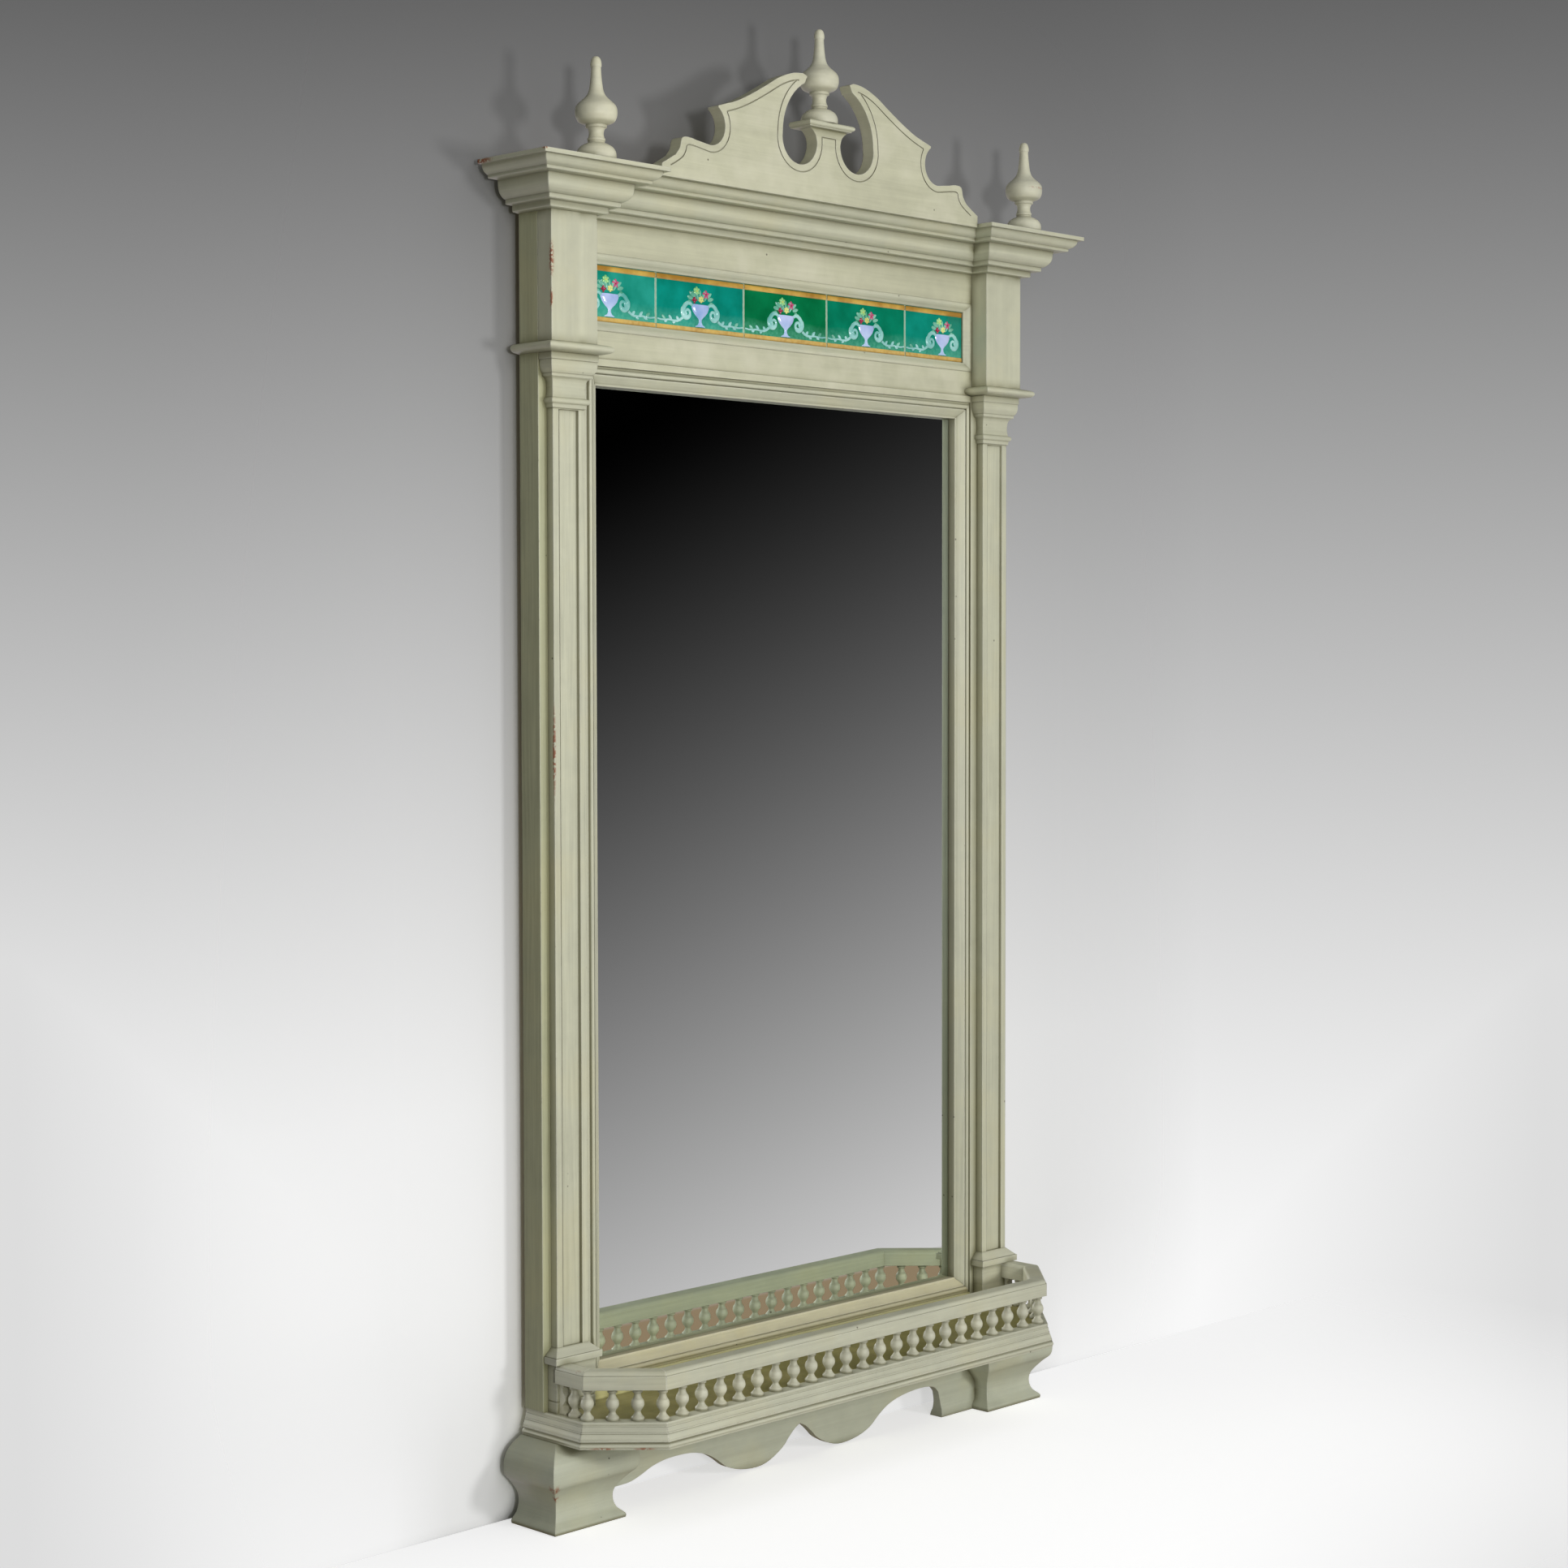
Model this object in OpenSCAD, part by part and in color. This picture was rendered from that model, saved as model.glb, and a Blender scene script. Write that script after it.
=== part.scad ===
// Painted overmantel mirror: a tall mirror in a pilastered case, with a tiled frieze,
// a mitred cornice, a scrolled pediment with turned finials, and a railed shelf on ogee feet.
// Millimetres. X runs to the right, Z up, and the front faces -Y. The origin is the middle
// of the bottom of the whole piece. Depths below are measured forward from the wall.

/* [Mirror] */
// Width of the glass that shows
sight_w = 662; // [560:1:760]
// Height of the glass that shows
sight_h = 1191; // [1000:1:1300]
// Thickness of the mirror glass
glass_t = 6; // [4:0.5:7]
// Width of the moulding around the glass
mould_w = 23; // [20:0.5:28]
// How far the moulding laps over the edge of the glass
glass_lap = 10; // [6:0.5:14]

/* [Case] */
// Depth of the case, from the wall to the face of its stiles
case_d = 34; // [30:1:44]
// Width of each stile beside the mirror, out to the side of the case
stile_w = 76; // [70:1:90]
// Thickness of the side boards
side_t = 18; // [14:1:22]
// Thickness of the planks behind the glass
back_t = 7.5; // [6:0.5:9]
// Height of the rail under the mirror
bottom_rail_h = 22.4; // [15:0.2:35]
// Height of the rail over the mirror
top_rail_h = 8.6; // [8:0.2:20]

/* [Feet and apron] */
// Height of the feet
foot_h = 105; // [90:1:120]
// Width of a foot on the floor
foot_w = 113; // [100:1:125]
// Depth of a foot on the floor, from the wall
foot_d = 80; // [70:1:90]
// How far the foot reaches past the side of the case on the floor
foot_out = 22; // [15:1:28]
// How far the foot bulges past its outline on the floor
foot_bulge = 12.5; // [8:0.5:16]
// Depth of the apron's face from the wall
apron_d = 47; // [42:1:54]
// Thickness of the apron
apron_t = 11; // [9:1:16]
// How far the apron's ends sweep out at the floor, forward and back
apron_sweep = 5; // [2:0.5:8]

/* [Shelf] */
// Thickness of the shelf and its moulding
shelf_t = 31; // [28:1:40]
// Depth of the shelf from the wall
shelf_d = 180; // [160:1:200]
// How far the moulding's foot stands out from the side of the case
shelf_out = 5; // [4:0.5:12]
// How far each corner of the shelf is cut back by its cant
shelf_cant = 76; // [60:1:90]
// Width of the moulding planted around the shelf
tray_w = 24; // [20:1:30]
// How far the moulding's top edge lies inside its foot
tray_fall = 8; // [5:0.5:12]

/* [Gallery] */
// Height of the turned spindles
spindle_h = 38; // [30:1:50]
// Largest radius of a spindle
spindle_r = 8; // [5:0.1:9]
// Spacing of the spindles along the front and the cants
spindle_pitch = 31.8; // [26:0.2:45]
// Spacing of the spindles along the sides
side_pitch = 20; // [17:0.5:30]
// Height of the rail on the spindles
rail_h = 22; // [18:0.5:26]
// Width of the rail
rail_w = 24; // [20:1:30]
// How far the rail lies inside the shelf's top edge
rail_in = 1; // [0:0.5:5]
// Thickness of the fretted half baluster at each end
end_t = 10; // [6:0.5:12]

/* [Pilasters] */
// Width of the pilaster shaft
shaft_w = 49.5; // [42:0.5:52]
// How far the shaft stands out from the case
shaft_t = 11; // [8:0.5:16]
// Depth of the sunk panel in the shaft
panel_sink = 2.3; // [1.5:0.1:4]
// Margin beside the sunk panel
panel_margin = 9; // [6:0.5:12]
// How far the plinth stands out from the shaft
plinth_out = 6; // [4:0.5:8]
// Height of the capital
capital_h = 65; // [54:1:78]
// How far the capital's top stands out from the shaft
capital_out = 12.5; // [9:0.5:13]

/* [Frieze] */
// Height of the frieze, from the case to the cornice
frieze_h = 166.5; // [150:0.5:190]
// Depth of the frieze board's face from the wall
frieze_d = 31.4; // [29:0.2:33.4]
// Width of the block at each end of the frieze
block_w = 72; // [64:1:76]
// Depth of the blocks' face from the wall
block_d = 59; // [50:1:70]
// Height of the round moulding under each block
necking_h = 13; // [10:0.5:18]
// How far the round moulding stands out
necking_out = 14.5; // [10:0.5:18]

/* [Tiles] */
// Width of a tile
tile_w = 152.4; // [140:0.2:156]
// Height of a tile
tile_h = 76.2; // [70:0.2:84]
// Thickness of a tile
tile_t = 9; // [7:0.5:10]
// Joint between tiles
tile_joint = 0.7; // [0.4:0.1:2]
// Height of the tiles above the foot of the frieze
tile_up = 42.4; // [36:0.2:48]
// How far the moulding laps over the tiles
tile_lap = 3.6; // [2:0.2:6]
// Width of the moulding around the tiles
tile_mould_w = 12; // [9:0.5:14]

/* [Cornice] */
// Height of the cornice
cornice_h = 56.5; // [48:0.5:70]
// How far the cornice stands out
cornice_out = 62.7; // [50:0.5:72]
// Thickness of the board that closes the top
top_t = 18; // [12:1:22]

/* [Pediment] */
// Height of the pediment's scrolls above the cornice
pediment_h = 151.5; // [120:0.5:180]
// Thickness of the pediment board
pediment_t = 19; // [15:1:24]
// Depth of the pediment's face from the wall
pediment_d = 97; // [94:1:104]
// How deep the pediment is let into the cornice
pediment_let = 5; // [3:0.5:8]
// How far the pediment stands to the right of the middle
pediment_off = 4; // [0:0.5:4.5]
// Width of the cap in the middle of the pediment
cap_w = 83; // [74:1:96]
// Depth of the cap
cap_d = 38; // [34:1:44]
// How far the cap stands out in front of the pediment
cap_over = 11; // [8:0.5:14]
// Height of the cap
cap_h = 8; // [6:0.5:14]

/* [Finials] */
// Height of a finial
finial_h = 120.5; // [100:0.5:140]
// Radius of a finial's ball
finial_r = 25; // [20:0.5:26]

/* [Hidden] */

paint = [0.74, 0.75, 0.64];
pine = [0.78, 0.62, 0.42];
silver = [0.8, 0.82, 0.84];
glaze = [0.1, 0.5, 0.42];

// Widths, measured from the middle
sight_x = sight_w / 2;
stile_x = sight_x + mould_w;
case_x = stile_x + stile_w;
side_x = case_x - side_t;
block_x = case_x - block_w;
pilaster_x = case_x - stile_w / 2;
shaft_x = shaft_w / 2;

// Heights, from the floor up
shelf_z = foot_h + shelf_t;
rail_z = shelf_z + spindle_h;
plinth_z = rail_z + rail_h;
sight_z0 = shelf_z + bottom_rail_h + mould_w;
sight_z1 = sight_z0 + sight_h;
frieze_z = sight_z1 + mould_w + top_rail_h;
block_z = frieze_z + necking_h;
cornice_z = frieze_z + frieze_h;
top_z = cornice_z + cornice_h;
board_z = top_z - top_t;

// Depths
wall_y = max(shelf_d, block_d + cornice_out) / 2;
glass_d = back_t + glass_t;
lip_d = case_d - 9;
shaft_d = case_d + shaft_t;
plinth_d = shaft_d + plinth_out;

// Mitres of the canted shelf corners, and the joint left open at the square ones
cant_t = tan(22.5);
mitre_gap = 0.2;

// Shelf path at the foot of its moulding, and rail path at its outer face
tray_x = case_x + shelf_out;
rail_x = tray_x - tray_fall - rail_in;
rail_d = shelf_d - tray_fall - rail_in;
rail_cant = shelf_cant - 2 * (tray_fall + rail_in) * (1 - cant_t) / 2;

// Spindle path: the middle of the rail
mid = rail_w / 2;
post_x = rail_x - mid;
post_d = rail_d - mid;
corner_x = rail_x - rail_cant - mid * cant_t;
corner_d = rail_d - rail_cant - mid * cant_t;
front_n = round(2 * corner_x / spindle_pitch);
cant_n = round((post_x - corner_x) * sqrt(2) / spindle_pitch);
side_n = max(1, floor((corner_d - plinth_d) / side_pitch));

// Base and capital of the pilasters
band_h = 8;
chamfer_h = 10;
shaft_z0 = plinth_z + band_h + chamfer_h;
shaft_z1 = frieze_z - capital_h;
groove_z = 13;
panel_rest = 1;

// Feet: distance out from the outline on the floor at each height
foot_x1 = case_x + foot_out;
foot_x0 = foot_x1 - foot_w;
foot_curve = [[0, 0], [0, 5], [-8, 13], [-11, 25], [-8.5, 37], [2, 51],
              [10.5, 60], [12.5, 71], [10.5, 82], [2, 93], [-15, 103]];

// Tiles
tile_n = 5;
tile_z = frieze_z + tile_up;
tile_run = tile_n * (tile_w + tile_joint) / 2;
tile_x = min(tile_run, side_x - 2);
tile_d = frieze_d - 8;
slot_x = min(tile_run - tile_lap, block_x - tile_mould_w);
slot_z0 = tile_z + tile_lap;
slot_z1 = tile_z + tile_h - tile_lap;

// Pediment: drawn at 295 half width and 151.5 high, then fitted
pediment_x = block_x - cornice_out - 1 - pediment_off;
pediment_fit = [pediment_x / 295, pediment_h / 151.5];
stem_z = top_z + 86.5 * pediment_fit[1];
cap_z = stem_z + cap_h;
finial_d = block_d + cornice_out - finial_r - 0.2;

function back(d) = wall_y - d;
function smooth(p, n = 5) = [
  for (i = [0 : len(p) - 2], k = [0 : n - 1])
    let (a = p[max(i - 1, 0)], b = p[i], c = p[i + 1], e = p[min(i + 2, len(p) - 1)], t = k / n)
      (2 * b + (c - a) * t + (2 * a - 5 * b + 4 * c - e) * t * t
        + (3 * b - a - 3 * c + e) * t * t * t) / 2,
  p[len(p) - 1]
];
function arc(c, r, a0, a1, n = 12) =
  [for (i = [0 : n]) let (a = a0 + (a1 - a0) * i / n) [c[0] + r * cos(a), c[1] + r * sin(a)]];
function raised(p, z) = [for (q = p) [q[0], q[1] + z]];
function fitted(p, k) = [for (q = p) [q[0] * k[0], q[1] * k[1]]];
function reversed(p) = [for (i = [len(p) - 1 : -1 : 0]) p[i]];
function both_sides(p) = concat(p, [for (q = reversed(p)) [-q[0], q[1]]]);

// A plate parallel to the wall, from its outline in x and z
module front_plate(outline, d0, d1)
  translate([0, back(d0), 0]) rotate([90, 0, 0]) linear_extrude(d1 - d0) polygon(outline);

// A bar along X, from its section in depth and z
module side_bar(section, x0, x1)
  translate([x0, 0, 0]) rotate([90, 0, 90]) linear_extrude(x1 - x0)
    polygon([for (q = section) [back(q[0]), q[1]]]);

// A level slab, from its plan in x and depth
module plan_slab(plan, z0, z1)
  translate([0, 0, z0]) linear_extrude(z1 - z0) polygon([for (q = plan) [q[0], back(q[1])]]);

module bar(x0, x1, d0, d1, z0, z1)
  translate([x0, back(d1), z0]) cube([x1 - x0, d1 - d0, z1 - z0]);

// A block whose front and two sides all follow one moulding, mitred at its corners.
// The moulding is a list of distance out and height, from the bottom up.
module moulded_block(x0, x1, d0, d1, moulding) {
  most = max([for (p = moulding) p[0]]);
  last = moulding[len(moulding) - 1];
  intersection() {
    front_plate(concat([for (p = moulding) [x1 + p[0], p[1]]],
                       [for (p = reversed(moulding)) [x0 - p[0], p[1]]]), d0, d1 + most);
    side_bar(concat([for (p = moulding) [d1 + p[0], p[1]]],
                    [[d0, last[1]], [d0, moulding[0][1]]]), x0 - most - 1, x1 + most + 1);
  }
}

// Clears the side board and the frieze board from what is planted on the case's corner
module clear_of_case()
  plan_slab([[0, -1], [case_x, -1], [case_x, case_d], [side_x, case_d],
             [side_x, frieze_d], [0, frieze_d]], 0, top_z + 1);

module on_left() mirror([1, 0, 0]) children();

// ---- Feet and apron

function foot_moulding() = smooth(fitted(foot_curve, [foot_bulge / 12.5, foot_h / 103]));

module foot_right()
  color(paint) moulded_block(foot_x0, foot_x1, 0, foot_d, foot_moulding());
module foot_left() on_left() foot_right();

// Lower edge of the apron's right half, from the middle notch out to the leg it stands on
function apron_edge() = fitted(smooth([[0, 43], [10, 38], [21, 29], [33, 18], [57, 6], [80, 2],
  [110, 5], [134, 13], [151, 25], [171, 36], [198, 43], [235, 46], [262, 43], [273, 34]], 3),
  [foot_x0 / 339, foot_h / 103]);
function leg_edge() = fitted([[276, 22], [277, 10], [274, 0]], [foot_x0 / 339, foot_h / 103]);
function apron_end(z) = [for (p = foot_moulding()) if (p[1] >= z) [foot_x0 - p[0], p[1]]];

// The left half ends in a tongue against the waist of the foot, without a leg
tongue_z = 27 * foot_h / 103;
function tongue_edge() = fitted(smooth([[0, 43], [10, 38], [21, 29], [33, 18], [57, 6], [80, 2],
  [110, 5], [134, 13], [151, 25], [171, 36], [198, 43], [235, 44], [262, 40], [282, 33], [300, 28],
  [318, 27], [340, 27]], 3), [foot_x0 / 339, foot_h / 103]);

module apron() color(paint) intersection() {
  front_plate(concat(apron_edge(), leg_edge(), apron_end(0), [for (p = reversed(
    concat(tongue_edge(), apron_end(tongue_z)))) if (p[0] > 0) [-p[0], p[1]]]),
    apron_d - apron_t - 20, apron_d + 20);
  union() {
    bar(-foot_x0 - 20, foot_x0 + 20, apron_d - apron_t, apron_d, 0, foot_h);
    side_bar(apron_foot(), foot_x0 - 70, foot_x0 + 20);
  }
}
function apron_foot() = concat(
  [[apron_d, foot_h], [apron_d, 34]],
  smooth([[apron_d, 34], [apron_d + 1, 18], [apron_d + apron_sweep, 3]], 4),
  [[apron_d + apron_sweep, 0], [apron_d - apron_t - apron_sweep, 0]],
  reversed(smooth([[apron_d - apron_t, 34], [apron_d - apron_t - 1, 18],
                   [apron_d - apron_t - apron_sweep, 3]], 4)),
  [[apron_d - apron_t, foot_h]]);

// Softwood blocks glued in the corners behind the apron and behind the pediment
block_size = 26;
module glue_blocks() color(pine) {
  for (x = [-200, 0, 200] * foot_x0 / 339)
    side_bar([[apron_d - apron_t, foot_h], [apron_d - apron_t, foot_h - block_size],
              [apron_d - apron_t - block_size, foot_h]], x - 30, x + 30);
  for (x = [-0.68, 0, 0.68] * pediment_x)
    side_bar([[pediment_d - pediment_t, top_z], [pediment_d - pediment_t, top_z + block_size],
              [pediment_d - pediment_t - block_size, top_z]],
             pediment_off + x - 30, pediment_off + x + 30);
}

// ---- Shelf with its mitred moulding

function shelf_plan(q) = [[-tray_x - q, 0], [tray_x + q, 0],
  [tray_x + q, shelf_d - shelf_cant + q * cant_t], [tray_x - shelf_cant + q * cant_t, shelf_d + q],
  [-tray_x + shelf_cant - q * cant_t, shelf_d + q],
  [-tray_x - q, shelf_d - shelf_cant + q * cant_t]];

module shelf_board() color(paint) plan_slab(shelf_plan(-tray_w), foot_h, shelf_z);

// Section of the shelf's moulding: bead at the foot, fillets, small ogee and a leaning face
function tray_section() = let (f = tray_fall / 8, h = shelf_t / 31) raised(fitted(concat(
  [[-tray_w / f, 0], [-1, 0]], arc([-2.5, 4], 2.5, -60, 60, 8),
  [[-3.4, 7.4], [-3.4, 8.4], [-1.8, 8.8], [-1.8, 10.2]],
  smooth([[-2.6, 10.6], [-3, 13.5], [-4.4, 16.5], [-5.4, 17.6]], 3),
  [[-5, 18], [-5, 19.4], [-5.8, 19.6], [-6.6, 25], [-7.6, 25.4], [-7.9, 27.4], [-7.4, 28.2],
   [-7.4, 30.4], [-8, 31], [-tray_w / f, 31]]), [f, h]), foot_h);

// The three runs of a moulding around the canted shelf. The path is its outer corner points:
// px the side's x, pd the front's depth and c the cant, and w is the moulding's width.
module run_front(section, px, pd, c, w) intersection() {
  side_bar([for (p = section) [pd + p[0], p[1]]], -px, px);
  plan_slab([[-(px - c + cant_t), pd + 1], [px - c + cant_t, pd + 1],
             [px - c - w * cant_t, pd - w], [-(px - c - w * cant_t), pd - w]], 0, top_z);
}
module run_cant(section, px, pd, c, w) intersection() {
  translate([px - c, back(pd), 0]) rotate([0, 0, 45]) translate([-w, 0, 0])
    rotate([90, 0, 90]) linear_extrude(c * sqrt(2) + 2 * w) polygon([for (p = section) [-p[0], p[1]]]);
  plan_slab([[px - c + cant_t, pd + 1], [px + 1, pd - c + cant_t],
             [px - w, pd - c - w * cant_t], [px - c - w * cant_t, pd - w]], 0, top_z);
}
module run_side(section, px, pd, c, w, d0) intersection() {
  front_plate([for (p = section) [px + p[0], p[1]]], d0, pd);
  plan_slab([[px + 1, d0], [px + 1, pd - c + cant_t], [px - w, pd - c - w * cant_t], [px - w, d0]],
            0, top_z);
}

module tray_mould_front()
  color(paint) run_front(tray_section(), tray_x, shelf_d, shelf_cant, tray_w);
module tray_mould_cant_right()
  color(paint) run_cant(tray_section(), tray_x, shelf_d, shelf_cant, tray_w);
module tray_mould_cant_left() on_left() tray_mould_cant_right();
module tray_mould_side_right()
  color(paint) run_side(tray_section(), tray_x, shelf_d, shelf_cant, tray_w, 0);
module tray_mould_side_left() on_left() tray_mould_side_right();

// ---- Gallery: turned spindles under a moulded rail

// The rail is rounded along both its upper edges, with a small step on the outside
function rail_section() = raised(concat(
  [[-rail_w, 0], [0, 0], [0, rail_h - 5.6], [-0.9, rail_h - 5.6]],
  arc([-5.9, rail_h - 5], 5, 0, 90, 7),
  arc([5 - rail_w, rail_h - 5], 5, 90, 180, 7)), rail_z);

module rail_front() color(paint) run_front(rail_section(), rail_x, rail_d, rail_cant, rail_w);
module rail_cant_right() color(paint) run_cant(rail_section(), rail_x, rail_d, rail_cant, rail_w);
module rail_cant_left() on_left() rail_cant_right();
// The side run stops against the face of the plinth
module rail_side_right()
  color(paint) run_side(rail_section(), rail_x, rail_d, rail_cant, rail_w, plinth_d);
module rail_side_left() on_left() rail_side_right();

// Half outline of a spindle in radius and height: foot, neck, belly, waist and ring
function spindle_half() = fitted(concat([[0, 0], [1, 0], [1, 0.07]],
  smooth([[0.96, 0.09], [0.72, 0.14], [0.52, 0.21], [0.47, 0.27], [0.66, 0.34], [0.93, 0.43],
          [1, 0.52], [0.9, 0.62], [0.66, 0.7], [0.55, 0.77], [0.52, 0.86]], 3),
  [[0.75, 0.875], [0.75, 0.94], [0.6, 0.95], [0.6, 1], [0, 1]]), [spindle_r, spindle_h]);

module spindle(x, d)
  translate([x, back(d), shelf_z]) rotate_extrude($fn = 48) polygon(spindle_half());

module spindles_front() color(paint) {
  for (i = [1 : front_n - 1]) spindle(corner_x * (2 * i / front_n - 1), post_d);
}
module spindles_right() color(paint) {
  for (i = [0 : cant_n]) let (k = i / cant_n)
    spindle(post_x + (corner_x - post_x) * k, corner_d + (post_d - corner_d) * k);
  for (i = [1 : 1 : side_n - 1]) spindle(post_x, corner_d - i * (corner_d - plinth_d) / side_n);
}
module spindles_left() on_left() spindles_right();

// Fretted half baluster, sawn to a spindle's outline, that ends the gallery against the plinth
module gallery_end_right() color(paint)
  side_bar([for (p = spindle_half()) [plinth_d + 1.3 * p[0], shelf_z + p[1]]],
           post_x - end_t / 2, post_x + end_t / 2);
module gallery_end_left() on_left() gallery_end_right();

// ---- Case

module side_board_right() color(paint) bar(side_x, case_x, 0, case_d, shelf_z, board_z);
module side_board_left() on_left() side_board_right();
module stile_right() color(paint) bar(stile_x, side_x, back_t, case_d, shelf_z, frieze_z);
module stile_left() on_left() stile_right();
module bottom_rail() color(paint)
  bar(-stile_x, stile_x, back_t, case_d, shelf_z, sight_z0 - mould_w);
module top_rail() color(paint)
  bar(-stile_x, stile_x, back_t, case_d, sight_z1 + mould_w, frieze_z);

plank_n = 3;
plank_gap = 0.6;
module back_boards() color(pine) {
  plank_w = (2 * side_x - (plank_n - 1) * plank_gap) / plank_n;
  for (i = [0 : plank_n - 1]) let (x = -side_x + i * (plank_w + plank_gap))
    bar(x, x + plank_w, 0, back_t, shelf_z, board_z);
}

module mirror_glass() color(silver)
  bar(-sight_x - glass_lap, sight_x + glass_lap, back_t, glass_d,
      sight_z0 - glass_lap, sight_z1 + glass_lap);

// ---- Mitred moulding around the glass

// Distance out from the edge of the glass that shows, and depth from the wall
function frame_section() = let (rebate = glass_lap + 0.5, bead = mould_w - 6) concat(
  [[rebate, back_t], [rebate, glass_d], [0, glass_d], [0, lip_d], [2, lip_d]],
  smooth([[2.4, lip_d + 0.4], [4.5, lip_d + 2.6], [8.5, lip_d + 5.8], [bead - 4.6, case_d - 0.5]], 4),
  [[bead - 4.4, case_d - 2.4], [bead - 3.5, case_d - 2.4]],
  arc([bead - 0.5, case_d - 1.5], 3, 180, 10, 9),
  [[mould_w - 3, case_d - 2.5], [mould_w, case_d - 2.5], [mould_w, back_t]]);

// One upright or one cross piece of a mitred frame around an opening
module frame_upright(section, x, z0, z1, w) intersection() {
  plan_slab([for (p = section) [x + p[0], p[1]]], z0 - w, z1 + w);
  front_plate([[x, z0], [x + w, z0 - w], [x + w, z1 + w], [x, z1]], 0, case_d + 20);
}
module frame_cross(section, x, z, w, way) intersection() {
  a = x - mitre_gap;
  side_bar([for (p = section) [p[1], z + way * p[0]]], -x - w, x + w);
  front_plate([[-a, z], [a, z], [a + w, z + way * w], [-a - w, z + way * w]], 0, case_d + 20);
}

module frame_mould_right()
  color(paint) frame_upright(frame_section(), sight_x, sight_z0, sight_z1, mould_w);
module frame_mould_left() on_left() frame_mould_right();
module frame_mould_top() color(paint) frame_cross(frame_section(), sight_x, sight_z1, mould_w, 1);
module frame_mould_bottom()
  color(paint) frame_cross(frame_section(), sight_x, sight_z0, mould_w, -1);

// ---- Pilasters

function base_moulding() = concat(
  [[plinth_out, shelf_z], [plinth_out, shelf_z + groove_z], [plinth_out - 1.2, shelf_z + groove_z + 1.2],
   [plinth_out, shelf_z + groove_z + 2.4], [plinth_out, plinth_z],
   [2 * plinth_out, plinth_z], [2 * plinth_out, plinth_z + band_h],
   [2 * plinth_out - 1.8, plinth_z + band_h], [2 * plinth_out - 1.8, plinth_z + band_h + 0.8],
   [1, shaft_z0 - 0.6], [0, shaft_z0]]);
module pilaster_base_right() color(paint)
  moulded_block(pilaster_x - shaft_x, pilaster_x + shaft_x, case_d, shaft_d, base_moulding());
module pilaster_base_left() on_left() pilaster_base_right();

// The shaft's sunk panel has a fine quirk along each side
module pilaster_shaft_right() color(paint) difference() {
  bar(pilaster_x - shaft_x, pilaster_x + shaft_x, case_d, shaft_d, shaft_z0, shaft_z1);
  half = shaft_x - panel_margin;
  translate([pilaster_x, 0, shaft_z0]) linear_extrude(shaft_z1 - shaft_z0 - panel_rest)
    polygon([for (p = both_sides([[half, shaft_d + 1], [half, shaft_d],
                                  [half - 0.8, shaft_d - panel_sink - 1.2],
                                  [half - 2.6, shaft_d - panel_sink - 1.2],
                                  [half - 3, shaft_d - panel_sink]])) [p[0], back(p[1])]]);
}
module pilaster_shaft_left() on_left() pilaster_shaft_right();

// Capital: bead, neck, cove, fillet, rounded face and top fillet
function capital_moulding() = raised(fitted(concat(
  [[0, 0], [2, 0.8], [2.4, 4.8]], arc([1.8, 9], 3.7, -75, 75, 8),
  smooth([[1.8, 12.7], [0.8, 21], [1.2, 29], [3, 34.5], [6.5, 37]], 4), [[7.6, 37.6], [7.6, 41]],
  smooth([[8.6, 41.4], [11, 46], [12, 52], [11.8, 56.6]], 3), [[13, 57], [13, 65]]),
  [capital_out / 13, capital_h / 65]), shaft_z1);
module pilaster_capital_right() color(paint)
  moulded_block(pilaster_x - shaft_x, pilaster_x + shaft_x, case_d, shaft_d, capital_moulding());
module pilaster_capital_left() on_left() pilaster_capital_right();

// ---- Frieze

function necking_moulding() = raised(fitted(smooth([[0, 0], [8.9, 1.3], [13.2, 3.4], [14.5, 6.3],
  [13, 9.3], [8.5, 11.2], [0, 13]], 3), [necking_out / 14.5, necking_h / 13]), frieze_z);
module necking_right() color(paint) difference() {
  moulded_block(block_x, case_x, 0, block_d, necking_moulding());
  clear_of_case();
}
module necking_left() on_left() necking_right();

module frieze_block_right() color(paint) difference() {
  bar(block_x, case_x, 0, block_d, block_z, board_z);
  clear_of_case();
}
module frieze_block_left() on_left() frieze_block_right();

// One board, slotted from the front for the moulding and rebated from behind for the tiles
module frieze_board() color(paint) difference() {
  bar(-side_x, side_x, back_t, frieze_d, frieze_z, board_z);
  bar(-slot_x - tile_mould_w, slot_x + tile_mould_w, tile_d, frieze_d + 1,
      slot_z0 - tile_mould_w, slot_z1 + tile_mould_w);
  bar(-tile_x, tile_x, 0, tile_d + 0.1, tile_z, tile_z + tile_h);
}

// Section of the moulding around the tiles: out from the opening, and depth
function tile_section() = concat([[0, tile_d], [0, tile_d + 3]],
  smooth([[0, tile_d + 3], [2.5, tile_d + 4.6], [5, tile_d + 7], [8, frieze_d + 1]], 3),
  [[tile_mould_w - 1.5, frieze_d + 1.2], [tile_mould_w, frieze_d + 0.4], [tile_mould_w, tile_d]]);
module tile_frame() color(paint) {
  frame_cross(tile_section(), slot_x, slot_z1, tile_mould_w, 1);
  frame_cross(tile_section(), slot_x, slot_z0, tile_mould_w, -1);
  frame_upright(tile_section(), slot_x, slot_z0, slot_z1, tile_mould_w);
  on_left() frame_upright(tile_section(), slot_x, slot_z0, slot_z1, tile_mould_w);
}

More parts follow.
